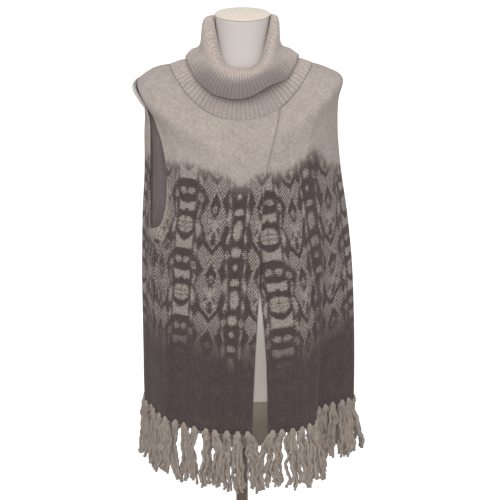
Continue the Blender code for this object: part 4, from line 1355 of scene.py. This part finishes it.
def fringe_piece(name, hem, end_sways, end_fans, seed, node):
    """The tassels along a panel's hem, in place of their solid."""
    random = np.random.default_rng(seed)
    walked = lengths_along(hem)
    count = round(walked[-1] / TASSEL_PITCH)
    middles = np.linspace(END_MARGIN, walked[-1] - END_MARGIN, count)
    middles[1:-1] += random.uniform(-KNOT_SHIFT, KNOT_SHIFT, count - 2)
    curve = bpy.data.curves.new(name, "CURVE")
    curve.dimensions = "3D"
    curve.bevel_mode = "OBJECT"
    curve.bevel_object = section
    curve.use_fill_caps = True
    sways = SWAY * np.sin(np.arange(count) * 0.8 + seed)
    sways += random.uniform(-SWAY_CHANCE, SWAY_CHANCE, count)
    fans = TASSEL_FAN * random.uniform(0.85, 1.15, count)
    across = np.interp(middles, walked, hem[:, 0])
    in_front = np.interp(middles, walked, hem[:, 1]) < 0
    by_split = hill(across - SPLIT_AT, SPLIT_REACH) * in_front
    bows = np.zeros(count)
    for parting in PARTINGS:
        near = hill(across - parting.across, PARTING_REACH) * in_front
        bows += parting.push * near * np.sign(across - parting.across)
        fans *= 1 - min(PARTED_FAN * parting.push, MOST_PARTED) * near
    bows[[0, -1]] += np.array(end_sways) / 2
    sways[[0, -1]] = end_sways
    sways[[1, -2]] = np.array(end_sways) / 2
    fans[[0, -1]] *= end_fans
    steps = [on_line(hem, walked, at + 0.004) - on_line(hem, walked, at - 0.004) for at in middles]
    directions = [step / np.linalg.norm(step) for step in steps]
    for k, tangent in enumerate(directions):
        edge = on_line(hem, walked, middles[k])
        outward = np.array((tangent[1], -tangent[0], 0))
        outward /= np.linalg.norm(outward)
        flare = flare_at(k, directions, edge)
        root = edge - np.array((0, 0, KNOT_DROP))
        hole = edge + tangent * KNOT_LEAN * math.sin(2.4 * k + seed)
        reach = FRINGE_LENGTH * (random.uniform(0.93, 1.04) + SPLIT_LONGER * by_split[k])
        tassel = Tassel(tangent, outward, sways[k], bows[k], flare, fans[k], wavy(random))
        add_knot(curve, tassel, root, hole)
        for place in np.linspace(-1, 1, STRANDS):
            start = root + outward * (random.uniform(-1, 1) * KNOT_DEPTH * 0.22)
            line = strand_line(tassel, start, place, reach * random.uniform(0.86, 1.05), random)
            taper = 0.12 * np.linspace(0, 1, STRAND_POINTS) ** 6
            add_yarn(curve, line, random.uniform(0.86, 1.1) - taper)
    print(f"{name}: {count} tassels")
    return object_of(name, mesh_of(curve), (fringe_yarn,), node)


FRINGES = (
    ("over_fringe", over_points[-1], (0.003, 0.018), (1.0, 1.4), 0, "fringe_over"),
    ("under_fringe", under_points[-1], (-0.017, -0.003), (2.2, 1.0), 1, "fringe_under"),
    ("back_fringe", back_points[-1], (0.003, -0.003), (1.0, 1.0), 2, "fringe_back"),
)
over_fringe, under_fringe, back_fringe = (fringe_piece(*sizes) for sizes in FRINGES)
bpy.data.objects.remove(section)

# %% [markdown]
# ## The dress form
#
# The form is a foam torso covered in smooth white jersey, with a flat neck, a cream cap, a covered
# lower section in taupe cloth, a pole and a round base plate. The torso and the lower section are
# lofted through rings, like the garment. The cap, the pole and the plate are turned profiles.

# %% Lofts and turned pieces
def form_ring(left, right, front, back, z_side, z_front, z_back, roundness=2.2):
    """A ring of the form: how far it reaches, and how high it is at the sides, front and back."""
    return Ring(left, right, front, back, z_side, z_side, z_front, z_back, roundness, 2, 0)


def level_ring(side, front, back, height, roundness=2.2):
    """The same for a level ring that is as wide to the left as to the right."""
    return form_ring(side, side, front, back, height, height, height, roundness)


TORSO = rows_of(
    form_ring,
    (0.0515, 0.0565, 0.054, 0.054, 1.415, 1.415, 1.415, 2.0),  # above the cut
    (0.0515, 0.0555, 0.054, 0.053, 1.366, 1.354, 1.372, 2.0),
    (0.056, 0.058, 0.057, 0.054, 1.335, 1.312, 1.345, 2.0),
    (0.072, 0.072, 0.064, 0.061, 1.318, 1.275, 1.318, 2.0),
    (0.11, 0.11, 0.085, 0.078, 1.302, 1.24, 1.29, 2.0),
    (0.146, 0.146, 0.108, 0.093, 1.283, 1.2, 1.25, 2.1),
    (0.168, 0.168, 0.124, 0.103, 1.26, 1.15, 1.2),
    (0.168, 0.168, 0.13, 0.107, 1.232, 1.105, 1.15),
    (0.152, 0.156, 0.131, 0.106, 1.17, 1.06, 1.095),
    (0.142, 0.146, 0.12, 0.1, 1.08, 1.0, 1.02),
    (0.124, 0.126, 0.102, 0.09, 0.96, 0.93, 0.93),
    (0.126, 0.128, 0.098, 0.09, 0.88, 0.87, 0.87),
    (0.148, 0.15, 0.108, 0.101, 0.79, 0.785, 0.785),
    (0.164, 0.164, 0.117, 0.106, 0.7, 0.7, 0.7),
    (0.164, 0.164, 0.117, 0.106, 0.622, 0.622, 0.622),
)
LOWER_SECTION = rows_of(
    level_ring,
    (0.164, 0.117, 0.106, 0.6216), (0.16, 0.114, 0.103, 0.592), (0.14, 0.103, 0.094, 0.562),
    (0.112, 0.088, 0.081, 0.536), (0.09, 0.073, 0.068, 0.513, 2.1),
    (0.07, 0.058, 0.054, 0.494, 2.0), (0.03, 0.028, 0.027, 0.484, 2.0),
)
NECK_TOP = 1.3960
NECK_TILT = math.radians(10.0)
NECK_SHIFT = 0.0025
PIECE_GAP = 0.0004
CAP_RADIUS = 0.055
CAP_THICKNESS = 0.004
POLE_RADIUS = 0.013
BASE_RADIUS = 0.19
BASE_HEIGHT = 0.010
BASE_EDGE = 0.005


def closed_up(bm):
    """Fills the open ends with flat faces, and turns all faces outward."""
    bmesh.ops.holes_fill(bm, edges=[edge for edge in bm.edges if edge.is_boundary], sides=0)
    bmesh.ops.recalc_face_normals(bm, faces=bm.faces)
    return bm


def lofted(table, columns, rows):
    """A closed solid through rings: a welded grid with flat ends."""
    row, bearing = np.meshgrid(
        np.linspace(0, len(table) - 1, rows), np.linspace(-180, 180, columns + 1), indexing="ij"
    )
    places = on_rings(table, row, bearing)
    bm = grid_mesh(places, np.stack([bearing / 360, row], axis=-1), {})
    bmesh.ops.remove_doubles(bm, verts=bm.verts, dist=WELD)
    return closed_up(bm)


def turned(profile, segments=64):
    """A closed solid of revolution about Z, from points of radius and height."""
    bm = bmesh.new()
    points = [bm.verts.new((radius, 0, height)) for radius, height in profile]
    for a, b in zip(points, points[1:]):
        bm.edges.new((a, b))
    bmesh.ops.spin(
        bm, geom=bm.verts[:] + bm.edges[:], axis=(0, 0, 1), cent=(0, 0, 0),
        steps=segments, angle=math.tau, use_merge=True, use_duplicate=False,
    )
    bmesh.ops.remove_doubles(bm, verts=bm.verts, dist=WELD)
    bmesh.ops.recalc_face_normals(bm, faces=bm.faces)
    return bm


def round_edges(bm, sharper_than, width, segments=3):
    """Bevels every edge that turns by more than an angle in degrees."""
    inner = [edge for edge in bm.edges if len(edge.link_faces) == 2]
    sharp = [edge for edge in inner if edge.calc_face_angle() > math.radians(sharper_than)]
    bmesh.ops.bevel(
        bm, geom=sharp, offset=width, segments=segments, profile=0.5, affect="EDGES", material=-1,
        clamp_overlap=True,
    )
    return bm


# %% Torso
def jersey_material():
    """Fine white jersey, stretched smooth, with the least trace of its wales."""
    material, start = new_material("white_jersey", roughness=0.85, sheen_weight=0.05)
    places = start.places()
    x, _ = places.parts()
    high = places.node("ShaderNodeSeparateXYZ", sockets={"Vector": places}, output=2)
    wales = (x / 0.0016).wave()
    weave = places.stretched(1.0, 1.0, 0.5).noise(1400, 2, 0.5)
    cloud = places.noise(9, 2, 0.5)
    colour = (cloud * 0.6 + weave * 0.4).between(0.3, 0.7).mixed(JERSEY_SHADE, JERSEY_WHITE)
    # Painted light: much lighter from 0.72-0.84 m upward, for the form seen in the shaded split.
    # Painted shade greys the neck.
    colour = high.between(0.72, 0.84).mixed(colour, JERSEY_LIT)
    colour = high.between(1.15, 1.30).mixed(colour, JERSEY_NECK_SHADE)
    return finished(material, colour, (wales * 0.5 + weave).bumps(0.25, 0.5))


JERSEY_WHITE = srgb(206, 197, 191)
JERSEY_SHADE = srgb(197, 187, 180)
JERSEY_LIT = srgb(252, 244, 234)
JERSEY_NECK_SHADE = srgb(190, 183, 179)
bm = lofted(TORSO, 96, 113)
bmesh.ops.bisect_plane(
    bm, geom=bm.verts[:] + bm.edges[:] + bm.faces[:], dist=WELD, clear_outer=True,
    plane_co=(0, 0, NECK_TOP), plane_no=(0, -math.sin(NECK_TILT), math.cos(NECK_TILT)),
)
round_edges(closed_up(bm), 50, 0.0015)
object_of("torso", bm, (jersey_material(),), "form_torso")


# %% Lower section
def taupe_material():
    """Matt plain-woven cloth in taupe."""
    material, start = new_material("taupe_cloth", roughness=0.9, sheen_weight=0.2)
    places = start.places()
    slubs = places.stretched(1.0, 1.0, 0.25).noise(900, 2, 0.6)
    cross = places.stretched(0.25, 0.25, 1.0).noise(900, 2, 0.6)
    weave = slubs * 0.5 + cross * 0.5
    colour = weave.between(0.35, 0.65).mixed(TAUPE_DEEP, TAUPE_PALE)
    return finished(material, colour, weave.bumps(0.3, 0.7))


TAUPE_PALE = srgb(152, 138, 125)
TAUPE_DEEP = srgb(134, 121, 109)
bm = round_edges(lofted(LOWER_SECTION, 96, 33), 40, 0.003)
object_of("lower_section", bm, (taupe_material(),), "form_lower_section")


# %% Cap, pole and base plate
def cap_material():
    """Cream lacquer over turned wood, so that the grain only just shows."""
    material, start = new_material("cream_wood", roughness=0.45, coat_weight=0.15)
    places = start.places()
    grain = places.stretched(1.0, 0.08, 1.0).noise(160, 3, 0.6)
    colour = grain.between(0.35, 0.65).mixed(CREAM_DEEP, CREAM)
    return finished(material, colour, grain.bumps(0.08, 0.4))


def painted_metal():
    """Dark brown satin paint with a faint orange peel."""
    material, start = new_material("brown_paint", roughness=0.42)
    places = start.places()
    peel = places.noise(420, 2, 0.5)
    colour = places.noise(14, 2, 0.5).between(0.35, 0.65).mixed(BROWN_DEEP, BROWN)
    return finished(material, colour, peel.bumps(0.06, 0.4), peel * 0.12 + 0.36)


CREAM = srgb(216, 204, 190)
CREAM_DEEP = srgb(210, 197, 181)
BROWN = srgb(82, 62, 48)
BROWN_DEEP = srgb(66, 50, 39)

bm = turned([
    (0, PIECE_GAP), (CAP_RADIUS - 0.0005, PIECE_GAP), (CAP_RADIUS, 0.001),
    (CAP_RADIUS, CAP_THICKNESS - 0.001), (CAP_RADIUS - 0.001, CAP_THICKNESS), (0, CAP_THICKNESS),
], 96)
round_edges(bm, 30, 0.0004)
bmesh.ops.rotate(bm, verts=bm.verts, cent=(0, 0, 0), matrix=Matrix.Rotation(NECK_TILT, 3, "X"))
bmesh.ops.translate(bm, verts=bm.verts, vec=(NECK_SHIFT, 0, NECK_TOP))
object_of("neck_cap", bm, (cap_material(),), "form_cap")

paint = painted_metal()
pole_top = LOWER_SECTION[-1].z_left - PIECE_GAP
pole_foot = BASE_HEIGHT + PIECE_GAP
bm = turned([(0, pole_foot), (POLE_RADIUS, pole_foot), (POLE_RADIUS, pole_top), (0, pole_top)])
object_of("pole", round_edges(bm, 40, 0.0006), (paint,), "form_pole")

bm = turned([
    (0, 0), (BASE_RADIUS - 0.001, 0), (BASE_RADIUS, 0.001), (BASE_RADIUS, BASE_EDGE - 0.001),
    (BASE_RADIUS - 0.001, BASE_EDGE), (2.5 * POLE_RADIUS, BASE_HEIGHT), (0, BASE_HEIGHT),
], 128)
object_of("base_plate", round_edges(bm, 30, 0.0004, 2), (paint,), "form_base")

# %% [markdown]
# ## Sheets of cloth
#
# A row type for a sheet of cloth: its piece, its points, what holds it and what it carries.

# %% Sheets
SheetCut = namedtuple("SheetCut", "piece points held carries")

# %% [markdown]
# ## Floor and light
#
# The floor is a plain pale sheet. A white sky, brighter above than below, lights the object softly
# from all sides. One lamp shines from the front, so that the inside of the armhole and the form
# behind the slit show, and a large one from above gives the folds a little depth.

# %% Floor and light
bm = bmesh.new()
bmesh.ops.create_grid(bm, x_segments=1, y_segments=1, size=60)
floor_mesh = bpy.data.meshes.new("floor")
bm.to_mesh(floor_mesh)
bm.free()
floor = in_scene("floor", floor_mesh)
SKY_ABOVE = 0.90
SKY_BELOW = 0.40
floor_material, _ = new_material(
    "pale_floor", base_color=(0.9, 0.9, 0.9, 1), roughness=1.0, specular_ior_level=0.0,
    emission_color=(1, 1, 1, 1), emission_strength=0.45,
)
floor.visible_diffuse = False
floor_mesh.materials.append(floor_material)

world = bpy.data.worlds.new("studio")
bpy.context.scene.world = world
world.use_nodes = True
sky = Wire(world.node_tree)
direction = sky.node("ShaderNodeTexCoord")
height = sky.node("ShaderNodeSeparateXYZ", sockets={"Vector": direction}, output=2)
strength = height.between(-0.9, 1.0) * (SKY_ABOVE - SKY_BELOW) + SKY_BELOW
world.node_tree.links.new(strength.socket, world.node_tree.nodes["Background"].inputs["Strength"])
world.node_tree.nodes["Background"].inputs["Color"].default_value = (1, 1, 1, 1)
bpy.context.scene.view_settings.view_transform = "Standard"


def soft_light(name, place, target, size, power):
    """A large square light that faces a target."""
    data = bpy.data.lights.new(name, "AREA")
    data.energy = power
    data.size = size
    lamp = in_scene(name, data)
    lamp.location = place
    lamp.rotation_euler = (Vector(target) - Vector(place)).to_track_quat("-Z", "Y").to_euler()


soft_light("front", (0.0175, -2.85, 1.665), target=(0, 0, 0.95), size=0.3, power=38)
soft_light("overhead", (0.1, -1.3, 3.3), target=(0, 0, 1.0), size=2.4, power=14)
print("lamps:", ", ".join(light.name for light in bpy.data.lights))
